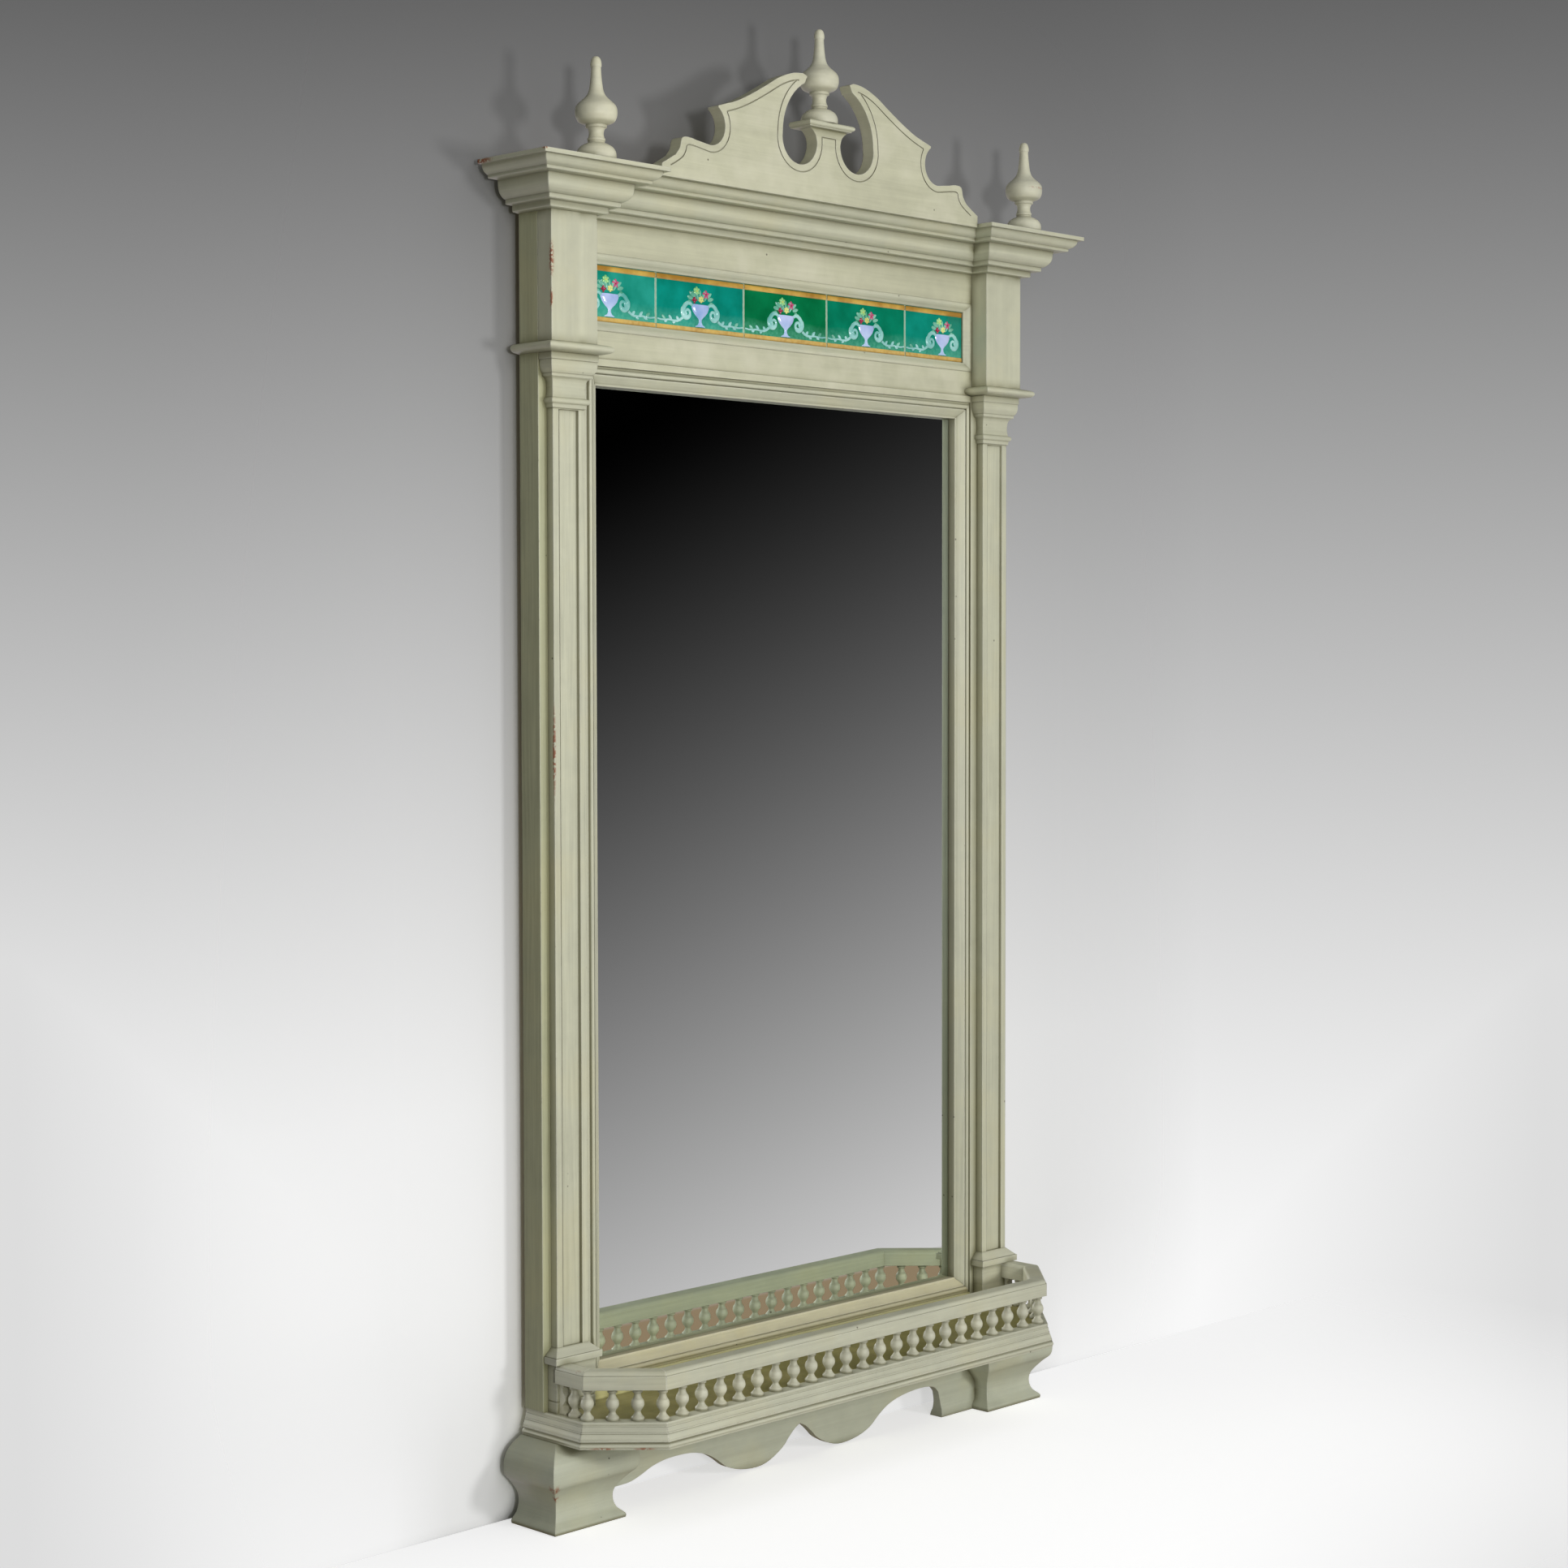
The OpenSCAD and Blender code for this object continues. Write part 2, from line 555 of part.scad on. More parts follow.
// Tile i of the run, counted from the left; the end tiles are cut to the case
module tile(i) color(glaze) {
  x0 = -tile_run + (i - 1) * (tile_w + tile_joint) + tile_joint / 2;
  bar(max(x0, -tile_x), min(x0 + tile_w, tile_x), tile_d - tile_t, tile_d, tile_z, tile_z + tile_h);
}
module tile_1() tile(1);
module tile_2() tile(2);
module tile_3() tile(3);
module tile_4() tile(4);
module tile_5() tile(5);
module tile_backing() color(pine)
  bar(-tile_x, tile_x, back_t, tile_d - tile_t, tile_z, tile_z + tile_h);

// ---- Cornice

// Section of the cornice: fillets, a large ovolo, a step, a small ovolo and the top fillet
function cornice_section() = raised(fitted(concat(
  [[0, 0], [9, 1], [10, 2], [10, 8.5], [18.5, 8.5], [20.5, 9.5], [20.5, 14.5]],
  smooth([[22, 14.5], [26.5, 17.5], [30.6, 23.5], [32.2, 34]], 4),
  [[32.2, 36], [46, 36.3], [47.3, 37.3], [47.3, 40.2]],
  smooth([[48.6, 40.6], [52.4, 43], [55.4, 47], [56.4, 51.5]], 4),
  [[62.7, 51.5], [62.7, 56.5], [0, 56.5]]), [cornice_out / 62.7, cornice_h / 56.5]), cornice_z);
module cornice_front(d, plan) intersection() {
  side_bar([for (p = cornice_section()) [d + p[0], p[1]]], -case_x - cornice_out, case_x + cornice_out);
  plan_slab(plan, cornice_z, top_z);
}
module cornice_return(x, way, plan) intersection() {
  front_plate([for (p = cornice_section()) [x + way * p[0], p[1]]], 0, block_d + cornice_out);
  plan_slab(plan, cornice_z, top_z);
}
// The three lengths that mitre round a block
module cornice_right() color(paint) {
  o = cornice_out;
  x0 = block_x + mitre_gap;
  x1 = case_x - mitre_gap;
  cornice_front(block_d, [[x0, block_d], [x1, block_d], [x1 + o, block_d + o],
                          [x0 - o, block_d + o]]);
  cornice_return(case_x, 1, [[case_x, 0], [case_x + o, 0], [case_x + o, block_d + o],
                             [case_x, block_d]]);
  cornice_return(block_x, -1, [[block_x, frieze_d], [block_x, block_d],
                               [block_x - o, block_d + o], [block_x - o, frieze_d + o]]);
}
module cornice_left() on_left() cornice_right();
// The middle run is rebated along its top for the pediment
module cornice_centre() color(paint) difference() {
  cornice_front(frieze_d, [[-block_x, frieze_d], [block_x, frieze_d],
    [block_x - cornice_out, frieze_d + cornice_out], [-block_x + cornice_out, frieze_d + cornice_out]]);
  bar(pediment_off - pediment_x, pediment_off + pediment_x, pediment_d - pediment_t,
      pediment_d + cornice_out, top_z - pediment_let, top_z + 1);
}
module top_board() color(pine) plan_slab([[-case_x, 0], [case_x, 0], [case_x, block_d],
  [block_x, block_d], [block_x, frieze_d], [-block_x, frieze_d], [-block_x, block_d],
  [-case_x, block_d]], board_z, top_z);

// ---- Pediment, cap and finials

// Right half of the pediment: shoulder, notch, scroll, pierced eye and stem
function pediment_half() = concat(
  [[295, -pediment_let / pediment_fit[1]], [295, 10], [284, 16]],
  smooth([[272, 23], [265, 32], [261, 44], [250, 46], [236, 44]], 4),
  arc([213, 67], 26, 270, 124, 14),
  smooth([[199, 91], [186, 95], [167, 101], [143, 112], [114, 127.5], [94, 139], [76, 146.5],
          [61, 150.5], [47, 151.5]], 3),
  [[40, 149]], arc([11, 74], 74, 63, 0, 10), arc([53.5, 69], 32, 0, -180, 20),
  smooth([[22.2, 72], [24, 77.5], [28, 82], [33, 85.5], [34, 86.5]], 3));

// Fine lines routed beside the edges: round the notch, under the scroll, round the eye, on the stem
line_w = 1.6;
line_t = 1.2;
function pediment_lines() = [
  concat(smooth([[281, 9], [270, 15], [260, 22], [255, 30], [253, 36], [245, 37], [230, 35]], 3),
         arc([213, 67], 34.5, 270, 147, 12)),
  smooth([[184, 86], [164, 92.5], [139, 103.5], [110, 119], [90, 130.5], [74, 137.5], [62, 141],
          [55, 142]], 3),
  concat(arc([11, 74], 83, 54, 2, 8), arc([53.5, 69], 41, -4, -176, 20), [[12.6, 76.8]]),
  [[13.4, 76], [-0.5, 76]]];
function ribbon(p, w) = let (m = len(p) - 1, n = [for (i = [0 : m])
  let (t = p[min(i + 1, m)] - p[max(i - 1, 0)]) [-t[1], t[0]] * w / 2 / norm(t)])
  concat([for (i = [0 : m]) p[i] + n[i]], [for (i = [m : -1 : 0]) p[i] - n[i]]);
function on_pediment(p) =
  raised([for (q = fitted(p, pediment_fit)) [q[0] + pediment_off, q[1]]], top_z);

module pediment_board() color(paint) difference() {
  front_plate(on_pediment(both_sides(pediment_half())), pediment_d - pediment_t, pediment_d);
  for (line = pediment_lines(), way = [-1, 1])
    front_plate(on_pediment([for (q = ribbon(line, line_w)) [way * q[0], q[1]]]),
                pediment_d - line_t, pediment_d + 1);
}

// The cap is rounded along its front and ends
module pediment_cap() color(paint) {
  edge = 3.5;
  moulded_block(edge - cap_w / 2, cap_w / 2 - edge, pediment_d + cap_over - cap_d,
    pediment_d + cap_over - edge,
    raised(fitted(concat([[0, 0], [0.4, 1.4]], arc([0.3, 4.6], 3.2, -70, 70, 8), [[0.4, 8]]),
                  [1, cap_h / 8]), stem_z));
}

// Half outline of a finial: domed foot, bead, neck, collar, ball, sloping shoulder, spire and tip
function finial_half() = fitted(concat(
  [[0, 0], [23.5, 0]], smooth([[23.8, 2], [23.4, 8], [20.5, 13.5], [15, 17.4], [11, 18.8]], 3),
  [[10, 19.6], [10, 21.4], [10.6, 22], [10.6, 24.4]],
  smooth([[9.6, 25.2], [8.8, 29], [9, 33], [10.6, 36.6]], 3), [[12.6, 37.4], [12.6, 40.6], [14.5, 41.2]],
  smooth([[16, 41.8], [21.6, 44.6], [24.4, 50], [25, 56], [24.2, 61], [21.8, 64.8]], 4),
  [[20.4, 66], [19.4, 67]],
  smooth([[17, 69], [11.5, 74.5], [8.6, 81], [7.2, 90], [6.2, 100], [5.8, 107.6]], 4), [[6.6, 108.6]],
  smooth([[6.6, 112], [5.4, 117], [3, 119.8], [0, 120.5]], 3)), [finial_r / 25, finial_h / 120.5]);
module finial(x, d, z) color(paint)
  translate([x, back(d), z]) rotate_extrude($fn = 96) polygon(finial_half());
module finial_right() finial(pilaster_x, finial_d, top_z);
module finial_left() finial(-pilaster_x, finial_d, top_z);
module finial_centre() finial(0, pediment_d + cap_over - finial_r + 1, cap_z);

foot_left();
foot_right();
apron();
glue_blocks();
shelf_board();
tray_mould_front();
tray_mould_cant_left();
tray_mould_cant_right();
tray_mould_side_left();
tray_mould_side_right();
rail_front();
rail_cant_left();
rail_cant_right();
rail_side_left();
rail_side_right();
spindles_front();
spindles_left();
spindles_right();
gallery_end_left();
gallery_end_right();
side_board_left();
side_board_right();
stile_left();
stile_right();
bottom_rail();
top_rail();
frame_mould_top();
frame_mould_bottom();
frame_mould_left();
frame_mould_right();
mirror_glass();
back_boards();
pilaster_base_left();
pilaster_base_right();
pilaster_shaft_left();
pilaster_shaft_right();
pilaster_capital_left();
pilaster_capital_right();
necking_left();
necking_right();
frieze_block_left();
frieze_block_right();
frieze_board();
tile_frame();
tile_1();
tile_2();
tile_3();
tile_4();
tile_5();
tile_backing();
cornice_centre();
cornice_left();
cornice_right();
top_board();
pediment_board();
pediment_cap();
finial_left();
finial_centre();
finial_right();
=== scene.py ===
# %% [markdown]
# # A painted overmantel mirror
# The mirror comes from the workshop as solid pieces of joinery. Blender's work is the finish: old
# sage paint with brush marks and dark glaze in its corners, a silvered glass, and five glazed tiles.
# The frame is loaded first and never moved, so that each finish lands on the piece it belongs to.

# %% Load the frame
import math
from math import radians

import bmesh
import bpy
from mathutils import Matrix, Vector


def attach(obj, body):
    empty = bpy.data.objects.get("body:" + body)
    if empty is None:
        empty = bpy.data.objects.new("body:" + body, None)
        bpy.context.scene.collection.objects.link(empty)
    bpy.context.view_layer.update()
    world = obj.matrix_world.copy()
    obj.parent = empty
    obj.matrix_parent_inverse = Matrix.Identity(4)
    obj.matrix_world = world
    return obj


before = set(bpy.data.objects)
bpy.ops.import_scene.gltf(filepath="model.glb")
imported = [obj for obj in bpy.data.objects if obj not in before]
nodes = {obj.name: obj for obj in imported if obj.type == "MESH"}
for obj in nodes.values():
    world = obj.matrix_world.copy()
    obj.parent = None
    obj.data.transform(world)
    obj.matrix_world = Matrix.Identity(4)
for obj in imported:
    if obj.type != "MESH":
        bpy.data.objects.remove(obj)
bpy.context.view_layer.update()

# %% [markdown]
# The photograph was taken from the left, at about eye height, with a long lens. The camera is placed
# first because every later choice is judged through it. Its angles are plain numbers: how far it
# turns from facing the wall, how far it looks down, and how far it leans.

# %% Place the camera
CAMERA_PLACE = (-2.657, -2.5347, 1.0319)
CAMERA_YAW = 45.56
CAMERA_PITCH = -2.35
CAMERA_ROLL = -0.09
LENS_MM = 65.67


def camera_matrix(place, yaw, pitch, roll):
    """Row-frame matrix of a camera that faces +Y at yaw 0."""
    yaw, pitch, roll = radians(yaw), radians(pitch), radians(roll)
    ahead = Vector((math.sin(yaw) * math.cos(pitch), math.cos(yaw) * math.cos(pitch), math.sin(pitch)))
    right = Vector((math.cos(yaw), -math.sin(yaw), 0))
    up = right.cross(ahead)
    side = right * math.cos(roll) + up * math.sin(roll)
    top = up * math.cos(roll) - right * math.sin(roll)
    turn = Matrix((side, top, -ahead)).transposed()
    return Matrix.Translation(place) @ turn.to_4x4()


scene = bpy.context.scene
scene.view_settings.view_transform = "Standard"
camera_data = bpy.data.cameras.new("camera")
camera_data.lens = LENS_MM
camera_data.sensor_width = 36
camera = bpy.data.objects.new("camera", camera_data)
camera.matrix_world = camera_matrix(CAMERA_PLACE, CAMERA_YAW, CAMERA_PITCH, CAMERA_ROLL)
scene.collection.objects.link(camera)
scene.camera = camera
print("camera stands", round(math.hypot(*CAMERA_PLACE[:2]), 2), "m from the middle of the mirror")

# %% [markdown]
# A shader is a graph of small nodes. Two helpers keep the graphs readable: one adds a node and sets
# its values, and one joins an output to an input. A third starts a node group with named sockets.

# %% Helpers for shader graphs


def add(tree, kind, **settings):
    """Adds a node and sets its properties and its unlinked inputs by name."""
    node = tree.nodes.new(kind)
    sockets = {socket.name.lower().replace(" ", "_"): socket for socket in node.inputs}
    for name, value in settings.items():
        if name in sockets:
            feed(tree, value, sockets[name])
        else:
            setattr(node, name, value)
    return node


def feed(tree, value, socket):
    """Sets a socket to a number or colour, or links it to an output."""
    if isinstance(value, bpy.types.NodeSocket):
        tree.links.new(value, socket)
    elif isinstance(value, bpy.types.Node):
        tree.links.new(value.outputs[0], socket)
    else:
        socket.default_value = value


def maths(tree, operation, first, second=0.0, third=0.0):
    """A math node's result."""
    node = tree.nodes.new("ShaderNodeMath")
    node.operation = operation
    for value, socket in zip((first, second, third), node.inputs):
        feed(tree, value, socket)
    return node.outputs[0]


def blend(tree, amount, first, second):
    """A colour between first and second."""
    node = tree.nodes.new("ShaderNodeMix")
    node.data_type = "RGBA"
    feed(tree, amount, node.inputs[0])
    feed(tree, first, node.inputs[6])
    feed(tree, second, node.inputs[7])
    return node.outputs[2]


def spread(tree, value, low, high, to_low=0.0, to_high=1.0):
    """Stretches low..high to to_low..to_high, clamped."""
    node = tree.nodes.new("ShaderNodeMapRange")
    for number, item in enumerate((value, low, high, to_low, to_high)):
        feed(tree, item, node.inputs[number])
    return node.outputs[0]


def new_group(name, inputs, outputs):
    """A shader node group. Each socket is given as name: (kind, default)."""
    tree = bpy.data.node_groups.new(name, "ShaderNodeTree")
    for label, (kind, default) in inputs.items():
        socket = tree.interface.new_socket(name=label, in_out="INPUT", socket_type="NodeSocket" + kind)
        if default is not None:
            socket.default_value = default
    for label, kind in outputs.items():
        tree.interface.new_socket(name=label, in_out="OUTPUT", socket_type="NodeSocket" + kind)
    return tree, tree.nodes.new("NodeGroupInput").outputs, tree.nodes.new("NodeGroupOutput").inputs


def place_group(tree, group, **inputs):
    """Puts a node group in a material and returns its outputs."""
    node = tree.nodes.new("ShaderNodeGroup")
    node.node_tree = group
    for name, value in inputs.items():
        feed(tree, value, node.inputs[name])
    return node.outputs


def new_material(name):
    """An empty material with its output, ready for a surface."""
    material = bpy.data.materials.new(name)
    material.use_nodes = True
    material.node_tree.nodes.clear()
    output = material.node_tree.nodes.new("ShaderNodeOutputMaterial")
    return material, material.node_tree, output.inputs["Surface"]


SCREEN_OFFSET, SCREEN_POWER = 0.055, 2.4
DARK_LEVELS, DARK_SLOPE = 10, 12.92


def srgb(red, green, blue):
    """A colour as a paint chart gives it, 0 to 255, for a shader."""
    light = []
    for level in (red, green, blue):
        if level <= DARK_LEVELS:
            light.append(level / 255 / DARK_SLOPE)
        else:
            light.append(((level / 255 + SCREEN_OFFSET) / (1 + SCREEN_OFFSET)) ** SCREEN_POWER)
    return (*light, 1.0)


print("helpers ready")

# %% [markdown]
# The backdrop fades from white at the floor to grey above, slowly at first and then faster, as paper
# does under a lamp that is aimed low. The world shows it to the camera, and the wall near the mirror
# takes the same fade, so the fade is a group that both can use. A curve with one bend is enough for it:
# it turns an angle of elevation into a tone, and the tone into the light that a screen gives for it.

# %% Backdrop fade
FADE_STARTS, FADE_ENDS = -13.0, 13.0
FLOOR_TONE, TOP_TONE, FADE_BEND = 250, 100, 1.3

fade_group, given, result = new_group("backdrop_fade", {"Elevation": ("Float", 0.0)}, {"Color": "Color"})
climb = spread(fade_group, given["Elevation"], FADE_STARTS, FADE_ENDS)
climb = maths(fade_group, "POWER", climb, FADE_BEND)
tone = spread(fade_group, climb, 0, 1, FLOOR_TONE / 255, TOP_TONE / 255)
tone = maths(fade_group, "ADD", tone, SCREEN_OFFSET)
tone = maths(fade_group, "DIVIDE", tone, 1 + SCREEN_OFFSET)
feed(fade_group, maths(fade_group, "POWER", tone, SCREEN_POWER), result["Color"])
print("backdrop tones:", FLOOR_TONE, "to", TOP_TONE)

# %% [markdown]
# The world has three faces. The camera sees the backdrop. Glossy rays see the room in front of the
# mirror, which is dark near the ceiling and pale near the floor: that is what old glass shows in the
# photograph. The light that falls on the paint comes from above, from the right and from the front, so
# the left sides stay in shade. The glass is slightly green, so the room is divided by that green. All
# angles here are degrees of the direction in which a ray leaves, and the levels run from 0 to 1.

# %% World
world = bpy.data.worlds.new("studio")
scene.world = world
world.use_nodes = True
sky = world.node_tree
sky.nodes.clear()
ROOM_LEVEL, ROOM_PER_DEGREE, ROOM_TURN_PER_DEGREE = 0.282, -0.0416, 0.0224
ROOM_TURN_FROM, ROOM_TURN_TO, ROOM_TURN_MIDDLE = 30, 60, 45.3
ROOM_DARKEST, ROOM_PALEST, ROOM_POWER, ROOM_STRENGTH = 0.02, 0.86, 2.2, 0.9
POOL_BEARING, POOL_EDGE_STARTS, POOL_EDGE_ENDS = 45.5, 8.0, 15.0
POOL_PALE, POOL_DARK = 0.955, 0.723
GLASS_TINT = (0.84, 0.93, 0.85)
LIGHT_EVEN, LIGHT_RIGHT, LIGHT_FRONT, LIGHT_ABOVE = 0.06, 0.32, 0.30, 0.38
LIGHT_BELOW, LIGHT_BELOW_RIGHT, LIGHT_BEHIND, LIGHT_LEAST = 0.12, 0.072, 0.08, 0.02

direction = add(sky, "ShaderNodeTexCoord").outputs["Generated"]
parts = add(sky, "ShaderNodeSeparateXYZ", vector=direction).outputs
elevation = maths(sky, "DEGREES", maths(sky, "ARCSINE", parts["Z"]))
turn = maths(sky, "DEGREES", maths(sky, "ARCTAN2", parts["X"], maths(sky, "MULTIPLY", parts["Y"], -1)))

# What glossy rays see.
tilted = maths(sky, "MULTIPLY_ADD", elevation, ROOM_PER_DEGREE, ROOM_LEVEL)
turned = spread(sky, turn, ROOM_TURN_FROM, ROOM_TURN_TO, ROOM_TURN_FROM, ROOM_TURN_TO)
turned = maths(sky, "SUBTRACT", turned, ROOM_TURN_MIDDLE)
room = maths(sky, "MULTIPLY_ADD", turned, ROOM_TURN_PER_DEGREE, tilted)
room = spread(sky, room, ROOM_DARKEST, ROOM_PALEST, ROOM_DARKEST, ROOM_PALEST)
room = maths(sky, "POWER", room, ROOM_POWER)
room = add(sky, "ShaderNodeVectorMath", operation="SCALE", scale=room)
room.inputs[0].default_value = tuple(ROOM_STRENGTH / tint for tint in GLASS_TINT)

# What lights the paint.
upper = maths(sky, "MULTIPLY_ADD", maths(sky, "MAXIMUM", parts["Z"], 0), LIGHT_ABOVE, LIGHT_EVEN)
upper = maths(sky, "MULTIPLY_ADD", parts["X"], LIGHT_RIGHT, upper)
upper = maths(sky, "MULTIPLY_ADD", parts["Y"], -LIGHT_FRONT, upper)
lower = maths(sky, "MULTIPLY_ADD", parts["X"], LIGHT_BELOW_RIGHT, LIGHT_BELOW)
below = maths(sky, "LESS_THAN", parts["Z"], 0)
above = maths(sky, "SUBTRACT", 1, below)
ambient = maths(sky, "MULTIPLY_ADD", upper, above, maths(sky, "MULTIPLY", lower, below))
ambient = maths(sky, "MAXIMUM", ambient, LIGHT_LEAST)
ambient = spread(sky, maths(sky, "GREATER_THAN", parts["Y"], 0), 0, 1, ambient, LIGHT_BEHIND)

rays = add(sky, "ShaderNodeLightPath").outputs
lit = blend(sky, rays["Is Glossy Ray"], ambient, room)

# What the camera sees: the fade, darker to both sides of a pale pool.
bearing = maths(sky, "DEGREES", maths(sky, "ARCTAN2", parts["X"], parts["Y"]))
aside = maths(sky, "ABSOLUTE", maths(sky, "SUBTRACT", bearing, POOL_BEARING))
pool = spread(sky, aside, POOL_EDGE_STARTS, POOL_EDGE_ENDS, POOL_PALE, POOL_DARK)
paper = add(sky, "ShaderNodeMix", data_type="RGBA", blend_type="DARKEN")
paper.inputs[0].default_value = 1.0
feed(sky, place_group(sky, fade_group, Elevation=elevation)["Color"], paper.inputs[6])
feed(sky, pool, paper.inputs[7])
seen = blend(sky, rays["Is Camera Ray"], lit, paper.outputs[2])
backdrop = add(sky, "ShaderNodeBackground", color=seen)
feed(sky, backdrop, sky.nodes.new("ShaderNodeOutputWorld").inputs["Surface"])
print("light from above, right and front:", LIGHT_ABOVE, LIGHT_RIGHT, LIGHT_FRONT)

# %% [markdown]
# The wall is one large plane just behind the mirror. Near the mirror it is plain paper that takes the
# shadows, and further out it lets the backdrop through, so no edge of it shows from the front. Its fade
# goes by height and place on the wall: VIEW_HEIGHT and VIEW_DISTANCE say where the two fades agree, and
# from high above they don't. Seen from behind it is clear, so that the back of the mirror can be looked
# at. The narrow gap between the case and the wall has painted shade, the paper is painted darker towards
# the floor as shade, and paper near the floor glows a little, apart from a strip behind each foot.

# %% Wall
WALL_BACK, WALL_LIFT, WALL_GLOW, WALL_GLOW_TOP = 0.105, 1.08, 0.62, 0.22
VIEW_HEIGHT, VIEW_DISTANCE, VIEW_DISTANCE_PER_METRE = 1.0319, 3.74, 0.74
STRIP_INSIDE, STRIP_OUTSIDE = (0.36, 0.42), (0.54, 0.62)
GAP_REACH, GAP_CLOSED, GAP_OPEN, GAP_DARKEST = 0.03, 0.30, 0.55, 0.3
FOOT_SHADE, FOOT_SHADE_FROM, FOOT_SHADE_TO = 0.86, 0.12, 0.5
PLAIN_HALF_WIDTH, PLAIN_MIDDLE, PLAIN_HALF_HEIGHT = 0.46, 0.6, 1.1
WALL_FADE = (0.15, 0.5)


def stage_plane(name, corners):
    """A plane of the studio with an empty material."""
    mesh = bpy.data.meshes.new(name)
    mesh.from_pydata(corners, [], [(0, 1, 2, 3)])
    plane = bpy.data.objects.new(name, mesh)
    scene.collection.objects.link(plane)
    material, tree, surface = new_material(name)
    mesh.materials.append(material)
    return plane, tree, surface


def mix_shaders(tree, amount, first, second):
    """A surface between first and second."""
    node = add(tree, "ShaderNodeMixShader", fac=amount)
    feed(tree, first, node.inputs[1])
    feed(tree, second, node.inputs[2])
    return node


def distance_outside(tree, across, half_across, along, half_along):
    """How far a point lies outside a rectangle about the middle, in metres."""
    one = maths(tree, "MAXIMUM", maths(tree, "SUBTRACT", maths(tree, "ABSOLUTE", across), half_across), 0)
    two = maths(tree, "MAXIMUM", maths(tree, "SUBTRACT", maths(tree, "ABSOLUTE", along), half_along), 0)
    return maths(tree, "SQRT", maths(tree, "ADD", maths(tree, "POWER", one, 2), maths(tree, "POWER", two, 2)))


wall_corners = [(-3, WALL_BACK, 0), (4, WALL_BACK, 0), (4, WALL_BACK, 3.2), (-3, WALL_BACK, 3.2)]
wall, tree, surface = stage_plane("wall", wall_corners)
position = add(tree, "ShaderNodeNewGeometry").outputs["Position"]
spot = add(tree, "ShaderNodeSeparateXYZ", vector=position).outputs
rise = maths(tree, "SUBTRACT", spot["Z"], VIEW_HEIGHT)
away = maths(tree, "MULTIPLY_ADD", spot["X"], VIEW_DISTANCE_PER_METRE, VIEW_DISTANCE)
angle = maths(tree, "DEGREES", maths(tree, "ARCTANGENT", maths(tree, "DIVIDE", rise, away)))
grey = place_group(tree, fade_group, Elevation=angle)["Color"]
across = maths(tree, "ABSOLUTE", spot["X"])
free = maths(tree, "ADD", spread(tree, across, *STRIP_INSIDE, 1, 0), spread(tree, across, *STRIP_OUTSIDE))
low = maths(tree, "MULTIPLY", spread(tree, spot["Z"], WALL_GLOW_TOP, 0.0, 0.0, WALL_GLOW), free)
# The gap between the case and the wall is painted dark, and the paper is painted darker towards the floor:
# painted shade.
gap = add(tree, "ShaderNodeAmbientOcclusion", samples=8, distance=GAP_REACH).outputs["AO"]
gap = spread(tree, gap, GAP_CLOSED, GAP_OPEN, GAP_DARKEST, 1.0)
foot_shade = spread(tree, spot["Z"], FOOT_SHADE_FROM, FOOT_SHADE_TO, FOOT_SHADE, 1.0)
gap = maths(tree, "MULTIPLY", gap, foot_shade)
unlit = maths(tree, "MULTIPLY_ADD", low, -WALL_LIFT, WALL_LIFT)
shaded = add(tree, "ShaderNodeVectorMath", operation="SCALE", scale=maths(tree, "MULTIPLY", gap, unlit))
feed(tree, grey, shaded.inputs[0])
paper = add(tree, "ShaderNodeAddShader")
feed(tree, add(tree, "ShaderNodeBsdfDiffuse", color=shaded), paper.inputs[0])
feed(tree, add(tree, "ShaderNodeEmission", color=grey, strength=low), paper.inputs[1])
clear = add(tree, "ShaderNodeBsdfTransparent")
level = maths(tree, "SUBTRACT", spot["Z"], PLAIN_MIDDLE)
out = distance_outside(tree, spot["X"], PLAIN_HALF_WIDTH, level, PLAIN_HALF_HEIGHT)
near = mix_shaders(tree, spread(tree, out, *WALL_FADE), paper, clear)
feed(tree, mix_shaders(tree, add(tree, "ShaderNodeNewGeometry").outputs["Backfacing"], near, clear), surface)
wall.visible_diffuse = wall.visible_glossy = wall.visible_shadow = False
print("wall fades out within", WALL_FADE[1], "m of the piece")

# %% [markdown]
# The floor is white paper too. It glows a little to the camera and fades out further away. The lower
# part of the glass mirrors a brown floor, which the photograph shows between the spindles, so the floor
# answers glossy rays with brown in front of the piece and with nothing beyond.

# %% Floor
FLOOR_HALF_DEPTH, FLOOR_FADE = 0.1, (0.25, 1.0)
FLOOR_GLOW, FLOOR_SEEN, FLOOR_BOUNCE = 0.55, (0.78, 0.78, 0.78, 1), (0.62, 0.62, 0.58, 1)
BROWN_IN_GLASS, BROWN_ENDS, CLEAR_STARTS = srgb(152, 128, 106), -0.60, -0.66

floor_corners = [(-4, -4, 0), (4, -4, 0), (4, WALL_BACK, 0), (-4, WALL_BACK, 0)]
floor, tree, surface = stage_plane("floor", floor_corners)
position = add(tree, "ShaderNodeNewGeometry").outputs["Position"]
spot = add(tree, "ShaderNodeSeparateXYZ", vector=position).outputs
rays = add(tree, "ShaderNodeLightPath").outputs
white = blend(tree, rays["Is Camera Ray"], FLOOR_BOUNCE, FLOOR_SEEN)
pale = add(tree, "ShaderNodeBsdfDiffuse", color=white)
glow = add(tree, "ShaderNodeEmission", strength=maths(tree, "MULTIPLY", rays["Is Camera Ray"], FLOOR_GLOW))
both = add(tree, "ShaderNodeAddShader")
feed(tree, pale, both.inputs[0])
feed(tree, glow, both.inputs[1])
clear = add(tree, "ShaderNodeBsdfTransparent")
out = distance_outside(tree, spot["X"], PLAIN_HALF_WIDTH, spot["Y"], FLOOR_HALF_DEPTH)
near = mix_shaders(tree, spread(tree, out, *FLOOR_FADE), both, clear)
brown = add(tree, "ShaderNodeEmission", color=BROWN_IN_GLASS, strength=1.0)
mirrored = mix_shaders(tree, spread(tree, spot["Y"], BROWN_ENDS, CLEAR_STARTS), brown, clear)
